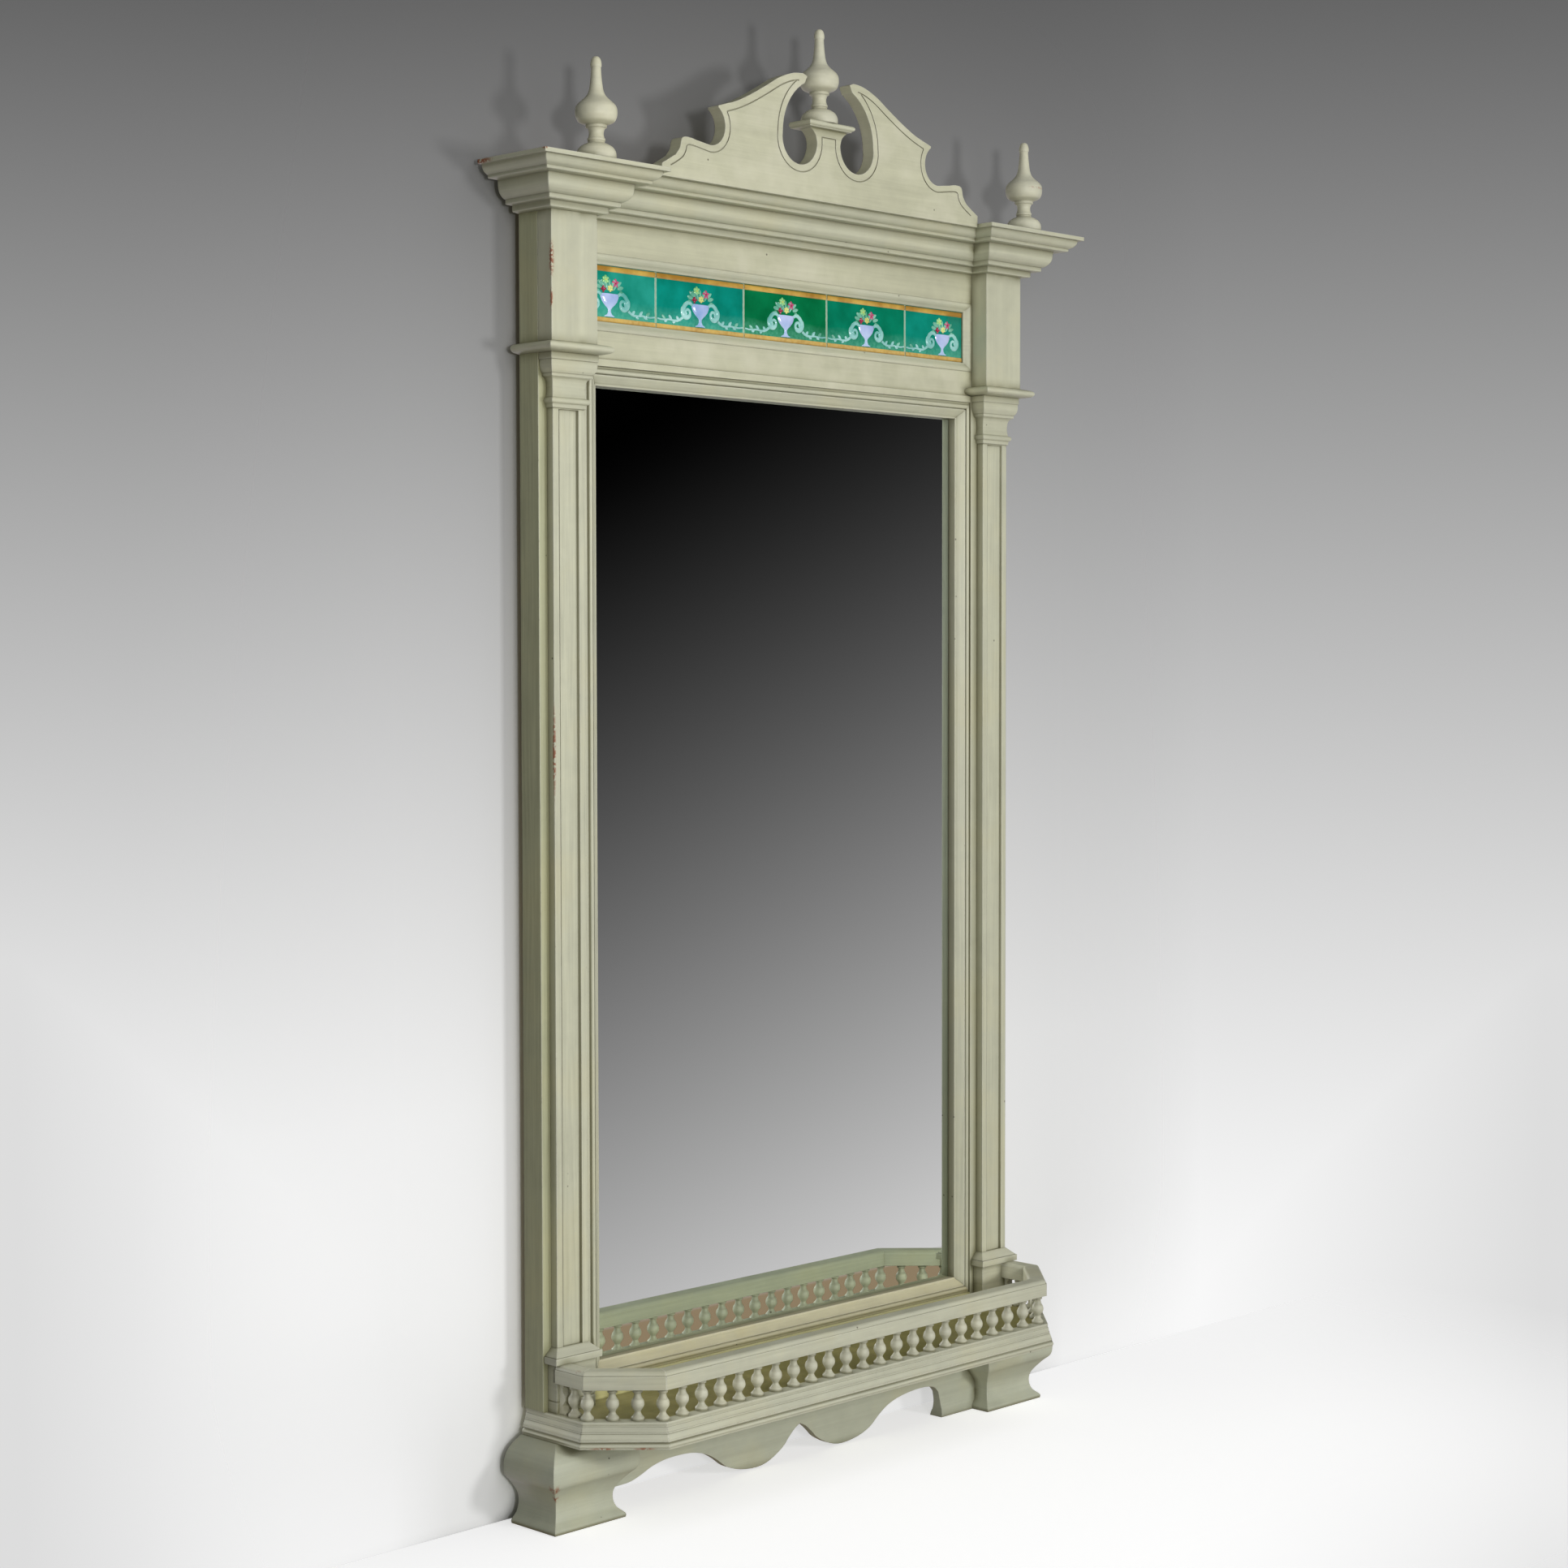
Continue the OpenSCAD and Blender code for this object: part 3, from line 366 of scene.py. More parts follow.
feed(tree, mix_shaders(tree, rays["Is Glossy Ray"], near, mirrored), surface)
print("floor fades out within", FLOOR_FADE[1], "m of the piece")

# %% [markdown]
# Two square lamps stand in front, one a little to the right and one to the left. Their places were
# found from the two shadows that each finial throws on the wall. A wide, weak one on the left opens the
# shadows under the cornice. A mirror would show the lamps, so light linking keeps them off the glass.
# The glass throws lamp light back on to the inside of the gallery. A path tracer finds that path only
# by luck, so two lamps at the mirrored places stand for it and light the gallery alone. One large lamp
# lights the back for anyone who walks round.

# %% Lamps
MIDDLE = (0, 0.05, 0.95)
GLASS_FACE = 0.0765
RIGHT_PLACE, RIGHT_SIZE, RIGHT_POWER = (0.72, -3.25, 1.22), 0.5, 31
LEFT_PLACE, LEFT_SIZE, LEFT_POWER = (-2.9, -5.0, 1.1), 0.55, 95
SOFT_PLACE, SOFT_SIZE, SOFT_POWER, SOFT_AIM = (-0.8, -2.0, 1.6), 1.6, 12, (-0.3, 0.05, 1.4)
BACK_PLACE, BACK_SIZE, BACK_POWER = (0.6, 4.2, 1.4), 2.4, 70
IN_GLASS_SIZE, IN_GLASS_GAIN = 0.9, 1.2


def lamp(name, place, size, power, lit_pieces, blockers=None, aim=MIDDLE):
    """A square soft lamp that lights only the listed pieces."""
    data = bpy.data.lights.new(name, "AREA")
    data.size = size
    data.energy = power
    lamp_object = bpy.data.objects.new(name, data)
    turn_to = (Vector(aim) - Vector(place)).to_track_quat("-Z", "Y")
    lamp_object.matrix_world = Matrix.Translation(place) @ turn_to.to_matrix().to_4x4()
    scene.collection.objects.link(lamp_object)
    lamp_object.light_linking.receiver_collection = lit_pieces
    if blockers:
        lamp_object.light_linking.blocker_collection = blockers
    return lamp_object


def collect(name, pieces):
    """A collection that only lamps use."""
    collection = bpy.data.collections.new(name)
    for piece in pieces:
        collection.objects.link(piece)
    return collection


GALLERY_WORDS = ("rail_front", "rail_cant", "rail_side", "spindles", "gallery_end", "tray_mould",
                 "shelf_board")
gallery = [piece for name, piece in nodes.items() if name.startswith(GALLERY_WORDS)]
front_lit = collect("front_lit", [wall, floor] + [p for n, p in nodes.items() if n != "mirror_glass"])
back_lit = collect("back_lit", [p for n, p in nodes.items() if n != "mirror_glass"])
gallery_lit = collect("gallery_lit", gallery)

lamp("right_lamp", RIGHT_PLACE, RIGHT_SIZE, RIGHT_POWER, front_lit)
lamp("left_lamp", LEFT_PLACE, LEFT_SIZE, LEFT_POWER, front_lit)
lamp("soft_lamp", SOFT_PLACE, SOFT_SIZE, SOFT_POWER, front_lit, aim=SOFT_AIM)
for name, (x, y, z), power in (("right", RIGHT_PLACE, RIGHT_POWER), ("left", LEFT_PLACE, LEFT_POWER)):
    mirrored_place = (x, 2 * GLASS_FACE - y, z)
    power = power * IN_GLASS_GAIN
    lamp(name + "_lamp_in_glass", mirrored_place, IN_GLASS_SIZE, power, gallery_lit, gallery_lit)
lamp("back_lamp", BACK_PLACE, BACK_SIZE, BACK_POWER, back_lit).visible_glossy = False

# %% [markdown]
# Old brushed paint is three things at once: streaks from the brush, dark glaze that a rag left behind in
# the corners, which also paints the shade that falls there, and edges that are pale, partly rubbed and
# partly a painted highlight, or rubbed through to the red wood. The streaks are noise squeezed along the
# grain. Corners come from ambient occlusion. Edges are where a slightly rounded normal differs from the
# true one, and that rounded normal also softens each arris.

# %% Brush streaks
ACROSS_GRAIN, ALONG_GRAIN = 300.0, 8.0
STREAK_RANGE, BROAD_RANGE, CLOUD_RANGE = (0.3, 0.7), (0.32, 0.68), (0.3, 0.7)
UPRIGHT_GRAIN = (ACROSS_GRAIN, ACROSS_GRAIN, ALONG_GRAIN)
brush_group, given, result = new_group("brush_streaks", {"Grain": ("Vector", UPRIGHT_GRAIN)},
                                       {"Streak": "Float", "Broad": "Float", "Cloud": "Float"})
spot = add(brush_group, "ShaderNodeTexCoord").outputs["Object"]
along = add(brush_group, "ShaderNodeVectorMath", operation="MULTIPLY")
feed(brush_group, spot, along.inputs[0])
feed(brush_group, given["Grain"], along.inputs[1])
hair = add(brush_group, "ShaderNodeTexNoise", vector=along, scale=1.0, detail=4.0, roughness=0.62)
broad = add(brush_group, "ShaderNodeTexNoise", vector=along, scale=0.16, detail=2.0, roughness=0.5)
cloud = add(brush_group, "ShaderNodeTexNoise", vector=spot, scale=9.0, detail=4.0, roughness=0.6)
feed(brush_group, spread(brush_group, hair.outputs["Fac"], *STREAK_RANGE), result["Streak"])
feed(brush_group, spread(brush_group, broad.outputs["Fac"], *BROAD_RANGE), result["Broad"])
feed(brush_group, spread(brush_group, cloud.outputs["Fac"], *CLOUD_RANGE), result["Cloud"])
print("streaks run", round(ACROSS_GRAIN / ALONG_GRAIN), "times further along the grain than across it")

# %% [markdown]
# Corners and edges are measured by one group, because both the paint and the tile glaze ask for them.
# An arris counts only where it stands free: a sharp edge at the bottom of a groove is neither rubbed nor
# given the painted highlight.

# %% Corners and edges
CORNER_REACH, ARRIS_RADIUS = 0.014, 0.002
ARRIS_RANGE, OPEN_RANGE, CORNER_RANGE = (0.99, 0.85), (0.75, 0.92), (0.97, 0.5)
edge_group, given, result = new_group(
    "corners_and_edges", {"Reach": ("Float", CORNER_REACH), "Rounding": ("Float", ARRIS_RADIUS)},
    {"Corner": "Float", "Arris": "Float", "Normal": "Vector"})
shade = add(edge_group, "ShaderNodeAmbientOcclusion", samples=8, distance=given["Reach"]).outputs["AO"]
rounded = add(edge_group, "ShaderNodeBevel", samples=6, radius=given["Rounding"]).outputs["Normal"]
true_normal = add(edge_group, "ShaderNodeNewGeometry").outputs["Normal"]
likeness = add(edge_group, "ShaderNodeVectorMath", operation="DOT_PRODUCT")
feed(edge_group, rounded, likeness.inputs[0])
feed(edge_group, true_normal, likeness.inputs[1])
edge = spread(edge_group, likeness.outputs["Value"], *ARRIS_RANGE)
open_side = spread(edge_group, shade, *OPEN_RANGE)
feed(edge_group, spread(edge_group, shade, *CORNER_RANGE), result["Corner"])
feed(edge_group, maths(edge_group, "MULTIPLY", edge, open_side), result["Arris"])
feed(edge_group, rounded, result["Normal"])
# Within this reach of a corner the paint is darkened by glaze and by painted shade.
print("glaze gathers within", round(CORNER_REACH * 1000), "mm of a corner")

# %% [markdown]
# A few arrises are knocked through to red wood: the foot, the block above the capital, the tips of the
# cornice, the corner of the gallery rail. Each knock is a soft ellipsoid, written as its centre and its
# three radii in metres, and the group puts out the strongest of them.

# %% Knocks
KNOCKS = (
    ((-0.457, 0.005, 0.056), (0.007, 0.007, 0.012)),
    ((-0.446, 0.016, 0.034), (0.004, 0.004, 0.018)),
    ((-0.430, 0.031, 1.512), (0.004, 0.004, 0.020)),
    ((-0.430, 0.031, 1.465), (0.002, 0.003, 0.012)),
    ((-0.4927, 0.083, 1.6245), (0.006, 0.018, 0.004)),
    ((-0.4927, -0.0317, 1.6262), (0.004, 0.005, 0.002)),
    ((-0.426, -0.0005, 0.1955), (0.004, 0.005, 0.003)),
    ((-0.410, -0.029, 0.106), (0.014, 0.014, 0.002)),
    ((-0.375, -0.064, 0.106), (0.012, 0.012, 0.002)),
    ((0.392, -0.026, 1.684), (0.012, 0.006, 0.002)),
    ((-0.4168, 0.0452, 0.930), (0.0025, 0.003, 0.050)),
)
KNOCK_FADED, KNOCK_FULL = 1.3, 0.5
knock_group, given, result = new_group("knocks", {}, {"Mask": "Float"})
spot = add(knock_group, "ShaderNodeTexCoord").outputs["Object"]
strongest = 0.0
for centre, radii in KNOCKS:
    away = add(knock_group, "ShaderNodeVectorMath", operation="SUBTRACT")
    feed(knock_group, spot, away.inputs[0])
    away.inputs[1].default_value = centre
    scaled = add(knock_group, "ShaderNodeVectorMath", operation="DIVIDE")
    feed(knock_group, away, scaled.inputs[0])
    scaled.inputs[1].default_value = radii
    reach = add(knock_group, "ShaderNodeVectorMath", operation="LENGTH")
    feed(knock_group, scaled, reach.inputs[0])
    knock = spread(knock_group, reach.outputs["Value"], KNOCK_FADED, KNOCK_FULL)
    strongest = maths(knock_group, "MAXIMUM", strongest, knock)
feed(knock_group, strongest, result["Mask"])
print("knocks:", len(KNOCKS))

# %% [markdown]
# The paint is laid up much as it was on the real piece, one coat over the other: streaked paint, darker
# low down as painted shade, a cloudy stain, the glaze in the corners, which also paints their shade, pale
# arrises that are partly a painted highlight, brown where an arris is rubbed further, a few dark flecks,
# and the knocks last. Each coat takes a share of the colour below it.

# %% Old paint
PAINT_INPUTS = {
    "Grain": ("Vector", UPRIGHT_GRAIN),
    "Paint": ("Color", (0.5, 0.5, 0.4, 1)),
    "Glaze": ("Color", (0.2, 0.2, 0.1, 1)),
    "Stain": ("Color", (0.4, 0.35, 0.2, 1)),
    "Stained": ("Float", 0.1),
    "Streaks": ("Float", 0.5),
    "Blotches": ("Float", 0.1),
    "Glazed": ("Float", 0.6),
}
# The pale arris colour is partly worn paint and partly a painted highlight where edges catch the light.
PALE_ARRIS_AND_HIGHLIGHT, RUBBED_ARRIS = srgb(232, 231, 214), srgb(120, 100, 72)
FLECK, RED_WOOD = srgb(62, 52, 36), srgb(152, 88, 58)
STREAK_DEPTH, BROAD_DEPTH = 0.24, 0.10
# Tones by height: painted shade low down and a little painted light high up, as the lamp light falls off.
PAINTED_SHADE_HEIGHTS, PAINTED_SHADE_LOW, PAINTED_LIGHT_HIGH = (0.5, 1.3), 0.96, 1.01
STAIN_RANGE, WIPE_STRENGTH = (0.45, 1.0), (0.55, 1.15)
RUBBED_RANGE, KNOCK_RANGE, FLECK_RADIUS = (0.62, 0.68), (0.43, 0.50), (0.075, 0.045)
PALE_AND_HIGHLIGHT_SHARE, RUBBED_SHARE, FLECK_SHARE, KNOCK_SHARE = 0.60, 0.45, 0.75, 0.95
FLECKS_LEFT_OUT = 0.90
GLOSS_RANGE, BROAD_RELIEF = (0.40, 0.55), 0.6

paint_group, given, result = new_group(
    "old_paint", PAINT_INPUTS,
    {"Color": "Color", "Roughness": "Float", "Height": "Float", "Normal": "Vector"})
brush = place_group(paint_group, brush_group, Grain=given["Grain"])
edges = place_group(paint_group, edge_group)
spot = add(paint_group, "ShaderNodeTexCoord").outputs["Object"]
knocked = place_group(paint_group, knock_group)["Mask"]

# Streaked paint, with blotches, and a little darker low down: painted shade where less lamp light reaches.
tone = maths(paint_group, "MULTIPLY", maths(paint_group, "SUBTRACT", brush["Streak"], 0.5), given["Streaks"])
tone = maths(paint_group, "MULTIPLY_ADD", tone, STREAK_DEPTH, 1.0)
broad = maths(paint_group, "SUBTRACT", brush["Broad"], 0.5)
tone = maths(paint_group, "MULTIPLY_ADD", broad, BROAD_DEPTH, tone)
smear = add(paint_group, "ShaderNodeTexNoise", vector=spot, scale=55.0, detail=3.0, roughness=0.55)
blotch = maths(paint_group, "ADD", maths(paint_group, "SUBTRACT", brush["Cloud"], 0.5),
               maths(paint_group, "SUBTRACT", smear.outputs["Fac"], 0.5))
tone = maths(paint_group, "ADD", maths(paint_group, "MULTIPLY", blotch, given["Blotches"]), tone)
height = add(paint_group, "ShaderNodeSeparateXYZ", vector=spot).outputs["Z"]
tone = maths(paint_group, "MULTIPLY", tone, spread(paint_group, height, *PAINTED_SHADE_HEIGHTS, PAINTED_SHADE_LOW, PAINTED_LIGHT_HIGH))
coat = add(paint_group, "ShaderNodeVectorMath", operation="SCALE", scale=tone)
feed(paint_group, given["Paint"], coat.inputs[0])

# Stain, and glaze in the corners, which also paints the shade that falls in them.
stained = maths(paint_group, "MULTIPLY", spread(paint_group, brush["Cloud"], *STAIN_RANGE), given["Stained"])
colour = blend(paint_group, stained, coat.outputs[0], given["Stain"])
glaze_and_shade = spread(paint_group, brush["Broad"], 0, 1, *WIPE_STRENGTH)
glaze_and_shade = maths(paint_group, "MULTIPLY", edges["Corner"], glaze_and_shade)
colour = blend(paint_group, maths(paint_group, "MULTIPLY", glaze_and_shade, given["Glazed"]), colour, given["Glaze"])

# Arrises, pale at first, partly rubbed paint and partly a painted highlight, and brown where they are rubbed
# further.
colour = blend(paint_group, maths(paint_group, "MULTIPLY", edges["Arris"], PALE_AND_HIGHLIGHT_SHARE), colour, PALE_ARRIS_AND_HIGHLIGHT)
speck = add(paint_group, "ShaderNodeTexNoise", vector=spot, scale=260.0, detail=3.0, roughness=0.6)
speck = speck.outputs["Fac"]
rubbed = maths(paint_group, "MULTIPLY", edges["Arris"], spread(paint_group, speck, *RUBBED_RANGE))
colour = blend(paint_group, maths(paint_group, "MULTIPLY", rubbed, RUBBED_SHARE), colour, RUBBED_ARRIS)

# Flecks, one in ten cells of the pattern, and the knocks.
flecks = add(paint_group, "ShaderNodeTexVoronoi", vector=spot, scale=48.0)
lot = add(paint_group, "ShaderNodeSeparateXYZ", vector=flecks.outputs["Color"]).outputs["X"]
fleck = maths(paint_group, "MULTIPLY", spread(paint_group, flecks.outputs["Distance"], *FLECK_RADIUS),
              maths(paint_group, "GREATER_THAN", lot, FLECKS_LEFT_OUT))
colour = blend(paint_group, maths(paint_group, "MULTIPLY", fleck, FLECK_SHARE), colour, FLECK)
through = maths(paint_group, "MULTIPLY", knocked, spread(paint_group, speck, *KNOCK_RANGE))
colour = blend(paint_group, maths(paint_group, "MULTIPLY", through, KNOCK_SHARE), colour, RED_WOOD)
feed(paint_group, colour, result["Color"])
feed(paint_group, spread(paint_group, brush["Streak"], 0, 1, *GLOSS_RANGE), result["Roughness"])
relief = maths(paint_group, "MULTIPLY_ADD", brush["Broad"], BROAD_RELIEF, brush["Streak"])
feed(paint_group, relief, result["Height"])
feed(paint_group, edges["Normal"], result["Normal"])
print("old paint group has", len(paint_group.nodes), "nodes")

# %% [markdown]
# Every painted piece is brushed along its length, so there is one finish for upright pieces, one for
# level ones and one for turned ones. The rest are for places that have aged in their own way. The shelf
# board is dark, partly its own darkened paint and partly painted shade under the gallery rail, the rail
# under the glass is olive and its moulding yellow, the apron and feet hold a greyer green, the sides are
# streakier and a little darker and yellower, and the blocks of the frieze are almost plain.

# %% Painted finishes
UPRIGHT, LEVEL, FLAT, TURNED = (300, 300, 8), (9, 9, 330), (9, 300, 300), (40, 40, 260)
SAGE, GREY_SAGE, DARK_SHELF_AND_SHADE = srgb(196, 196, 171), srgb(190, 193, 172), srgb(136, 130, 72)
# The dark corner colour is both glaze and painted shade.
GLAZE_AND_SHADE_COLOUR, STAIN = srgb(92, 88, 48), srgb(184, 172, 118)
BRUSH_RELIEF, BRUSH_STRENGTH = 0.0004, 0.35


def painted(name, grain, paint=SAGE, streaks=0.5, glazed=0.75, stained=0.22, stain=STAIN, blotches=0.14):
    """Old brushed paint on one kind of piece."""
    material, tree, surface = new_material(name)
    # glazed sets how much glaze and painted shade the corners take.
    coat = place_group(tree, paint_group, Grain=grain, Paint=paint, Glaze=GLAZE_AND_SHADE_COLOUR, Stain=stain,
                       Stained=stained, Streaks=streaks, Glazed=glazed, Blotches=blotches)
    bump = add(tree, "ShaderNodeBump", strength=BRUSH_STRENGTH, distance=BRUSH_RELIEF,
               height=coat["Height"], normal=coat["Normal"])
    feed(tree, add(tree, "ShaderNodeBsdfPrincipled", base_color=coat["Color"], roughness=coat["Roughness"],
                   normal=bump.outputs["Normal"]), surface)
    return material


upright_paint = painted("paint_upright", UPRIGHT, streaks=0.75)
side_paint = painted("paint_sides", UPRIGHT, srgb(186, 187, 152), streaks=0.9, stained=0.2)
block_paint = painted("paint_blocks", UPRIGHT, streaks=0.2, stained=0.2)
level_paint = painted("paint_level", LEVEL)
board_paint = painted("paint_boards", LEVEL, srgb(194, 193, 165), streaks=0.35, stained=0.6,
                      stain=srgb(212, 209, 187))
foot_paint = painted("paint_feet", LEVEL, GREY_SAGE, streaks=0.3)
# The shelf's dark olive is partly painted shade under the gallery rail.
shelf_paint = painted("paint_shelf", FLAT, DARK_SHELF_AND_SHADE, streaks=0.7, glazed=0.3, stained=0.5)
yellowed_paint = painted("paint_yellowed", LEVEL, srgb(206, 200, 166), glazed=0.25, stained=0.6,
                         stain=srgb(190, 176, 118))
olive_paint = painted("paint_olive", LEVEL, srgb(214, 209, 150), glazed=0.0, stained=0.4,
                      stain=srgb(186, 180, 110))
gallery_paint = painted("paint_gallery", LEVEL, srgb(194, 194, 172), streaks=0.6, glazed=0.7)
turned_paint = painted("paint_turned", TURNED, srgb(203, 202, 180), streaks=0.35, glazed=0.7, blotches=0.3)
print("painted finishes:", sum(material.name.startswith("paint_") for material in bpy.data.materials))

# %% [markdown]
# The parts that nobody was meant to see are bare pine: planks, glue blocks and the boards at the top and
# behind the tiles. Pine shows broad growth rings, so the wave is squeezed along the plank and bent by noise.

# %% Bare pine
EARLY_WOOD, LATE_WOOD, DUST = srgb(190, 154, 104), srgb(158, 116, 74), srgb(132, 112, 84)
PINE_RELIEF, PINE_STRENGTH, PINE_ROUGHNESS = 0.0005, 0.3, 0.68
FIBRE_RANGE, FIBRE_SHARE, DUST_RANGE, DUST_SHARE = (0.3, 0.7), (0.3, 1.0), (0.4, 0.8), 0.5
pine_group, given, result = new_group("pine_grain", {"Grain": ("Vector", (30.0, 30.0, 1.0))},
                                      {"Color": "Color", "Height": "Float"})
spot = add(pine_group, "ShaderNodeTexCoord").outputs["Object"]
along = add(pine_group, "ShaderNodeVectorMath", operation="MULTIPLY")
feed(pine_group, spot, along.inputs[0])
feed(pine_group, given["Grain"], along.inputs[1])
rings = add(pine_group, "ShaderNodeTexWave", wave_type="RINGS", rings_direction="SPHERICAL", vector=along,
            scale=1.2, distortion=9.0, detail=3.0, detail_scale=0.9)
fibre = add(pine_group, "ShaderNodeTexNoise", vector=along, scale=14.0, detail=4.0)
fibre = spread(pine_group, fibre.outputs["Fac"], *FIBRE_RANGE, *FIBRE_SHARE)
ring = maths(pine_group, "MULTIPLY", rings.outputs["Fac"], fibre)
colour = blend(pine_group, ring, EARLY_WOOD, LATE_WOOD)
dust = add(pine_group, "ShaderNodeTexNoise", vector=spot, scale=5.0, detail=4.0).outputs["Fac"]
dusty = spread(pine_group, dust, *DUST_RANGE, 0, DUST_SHARE)
feed(pine_group, blend(pine_group, dusty, colour, DUST), result["Color"])
feed(pine_group, ring, result["Height"])


def bare_pine(name, grain):
    """Planed pine, darkened by age."""
    material, tree, surface = new_material(name)
    wood = place_group(tree, pine_group, Grain=grain)
    bump = add(tree, "ShaderNodeBump", strength=PINE_STRENGTH, distance=PINE_RELIEF, height=wood["Height"])
    feed(tree, add(tree, "ShaderNodeBsdfPrincipled", base_color=wood["Color"], roughness=PINE_ROUGHNESS,
                   normal=bump.outputs["Normal"]), surface)
    return material


pine_upright = bare_pine("pine_upright", (15.0, 15.0, 0.7))
pine_level = bare_pine("pine_level", (0.7, 15.0, 15.0))
print("pine grain ready")

# %% [markdown]
# The glass is silvered, so it is a perfect mirror with the faint green of old glass.

# %% Silvered glass
mirror_finish, tree, surface = new_material("silvered_glass")
silver = add(tree, "ShaderNodeBsdfPrincipled", base_color=(*GLASS_TINT, 1), metallic=1.0, roughness=0.0)
feed(tree, silver, surface)
print("glass tint:", GLASS_TINT)

# %% [markdown]
# The tiles are moulded and flooded with coloured glaze. Glaze pools in the hollows, so each colour is
# deeper in the corners, and it is paler towards the bottom of each tile. Along the upright edges of each
# tile the glaze is so thin that the pale body shows.

# %% Glaze
GLAZE_INPUTS = {
    "Colour": ("Color", (0, 0.3, 0.2, 1)),
    "Deep": ("Color", (0, 0.2, 0.1, 1)),
    "Pale": ("Color", (0.5, 0.8, 0.7, 1)),
    "Middle": ("Float", 0.0),
    "Thin": ("Float", 0.0),
}
TILE_BODY, GLAZE_ROUGHNESS = srgb(196, 222, 196), 0.12
THIN_STARTS, THIN_FULL = 0.0752, 0.0762
PALE_STARTS, PALE_FULL = 1.484, 1.462
POOL_REACH, POOL_ROUNDING, POOL_SHARE = 0.004, 0.0006, 0.55
MOTTLE_RANGE, FINE_RANGE, FINE_SHARE = (0.35, 0.7), (0.35, 0.65), (0.25, 0.6)
MOTTLE_DRIFT, FINE_DRIFT = 0.012, 0.0012

glaze_group, given, result = new_group("pooled_glaze", GLAZE_INPUTS, {"Color": "Color"})
spot = add(glaze_group, "ShaderNodeTexCoord").outputs["Object"]
place = add(glaze_group, "ShaderNodeSeparateXYZ", vector=spot).outputs
mottle = add(glaze_group, "ShaderNodeTexNoise", vector=spot, scale=34.0, detail=3.0).outputs["Fac"]
fine = add(glaze_group, "ShaderNodeTexNoise", vector=spot, scale=210.0, detail=3.0).outputs["Fac"]
pool = place_group(glaze_group, edge_group, Reach=POOL_REACH, Rounding=POOL_ROUNDING)
colour = blend(glaze_group, spread(glaze_group, mottle, *MOTTLE_RANGE), given["Colour"], given["Deep"])
low = maths(glaze_group, "MULTIPLY_ADD", mottle, MOTTLE_DRIFT, place["Z"])
low = spread(glaze_group, low, PALE_STARTS, PALE_FULL)
low = maths(glaze_group, "MULTIPLY", low, spread(glaze_group, fine, *FINE_RANGE, *FINE_SHARE))
colour = blend(glaze_group, low, colour, given["Pale"])
colour = blend(glaze_group, maths(glaze_group, "MULTIPLY", pool["Corner"], POOL_SHARE), colour, given["Deep"])
aside = maths(glaze_group, "ABSOLUTE", maths(glaze_group, "SUBTRACT", place["X"], given["Middle"]))
edge = maths(glaze_group, "MULTIPLY_ADD", fine, FINE_DRIFT, aside)
edge = spread(glaze_group, edge, THIN_STARTS, THIN_FULL)
edge = maths(glaze_group, "MULTIPLY", edge, given["Thin"])
feed(glaze_group, blend(glaze_group, edge, colour, TILE_BODY), result["Color"])


def glazed(name, colour, deep, pale, middle=0.0, thin=0.0):
    """A glossy glaze that pools."""
    material, tree, surface = new_material(name)
    coat = place_group(tree, glaze_group, Colour=colour, Deep=deep, Pale=pale, Middle=middle, Thin=thin)
    glossy = add(tree, "ShaderNodeBsdfPrincipled", base_color=coat["Color"], roughness=GLAZE_ROUGHNESS)
    feed(tree, glossy, surface)
    return material


TILE_STEP, TILE_HALF, OPENING_HALF = 0.1531, 0.0762, 0.346
TILE_MIDDLE_Z, TILE_FACE = 1.4845, 0.0666
TILE_COLOURS = ((40, 160, 142), (10, 148, 132), (6, 124, 74), (6, 132, 100), (14, 146, 126))
tile_centres = [(number - 2) * TILE_STEP for number in range(5)]
print("tile centres:", [round(c, 4) for c in tile_centres])

# %% [markdown]
# The ornament is the traditional one of a footed vase of flowers with two curled handles, and a low
# spray of leaves that runs to both edges. It is drawn here in simple strokes. Each is a line with a
# width that changes along it and a half-round section, and stands 1 to 2 mm proud of the tile.

# %% Raised strokes
STROKE_SIDES = (-1.0, -0.75, -0.35, 0.0, 0.35, 0.75, 1.0)
STROKE_SUNK = 0.2


def raised_stroke(mesh, middle, line, widths, height, finish):
    """Adds a half-round stroke to mesh. line is in mm about the tile's middle."""
    sunk_face = TILE_FACE + STROKE_SUNK / 1000
    rows = []
    widest = max(widths)
    for place, (u, w) in enumerate(line):
        before, after = line[max(place - 1, 0)], line[min(place + 1, len(line) - 1)]
        du, dw = after[0] - before[0], after[1] - before[1]
        length = math.hypot(du, dw) or 1.0
        half = widths[place]
        lift = height * math.sqrt(max(half, 0.05) / widest)
        row = []
        for side in STROKE_SIDES:
            x = middle + (u - dw / length * half * side) / 1000
            z = TILE_MIDDLE_Z + (w + du / length * half * side) / 1000
            y = sunk_face - (lift * math.sqrt(1 - side * side) + STROKE_SUNK) / 1000
            row.append(mesh.verts.new((x, sunk_face if abs(side) == 1 else y, z)))
        rows.append(row)
    for one, two in zip(rows, rows[1:]):
        for k in range(len(STROKE_SIDES) - 1):
            face = mesh.faces.new((one[k], one[k + 1], two[k + 1], two[k]))
            face.material_index = finish
            face.smooth = True


def arc(centre, radius, start, end, steps=12, shrink=1.0):
    """Points of a circle or spiral, angles in degrees."""
    points = []
    for step in range(steps + 1):
        t = step / steps
        angle, reach = radians(start + (end - start) * t), radius * shrink ** t
        points.append((centre[0] + reach * math.cos(angle), centre[1] + reach * math.sin(angle)))
    return points


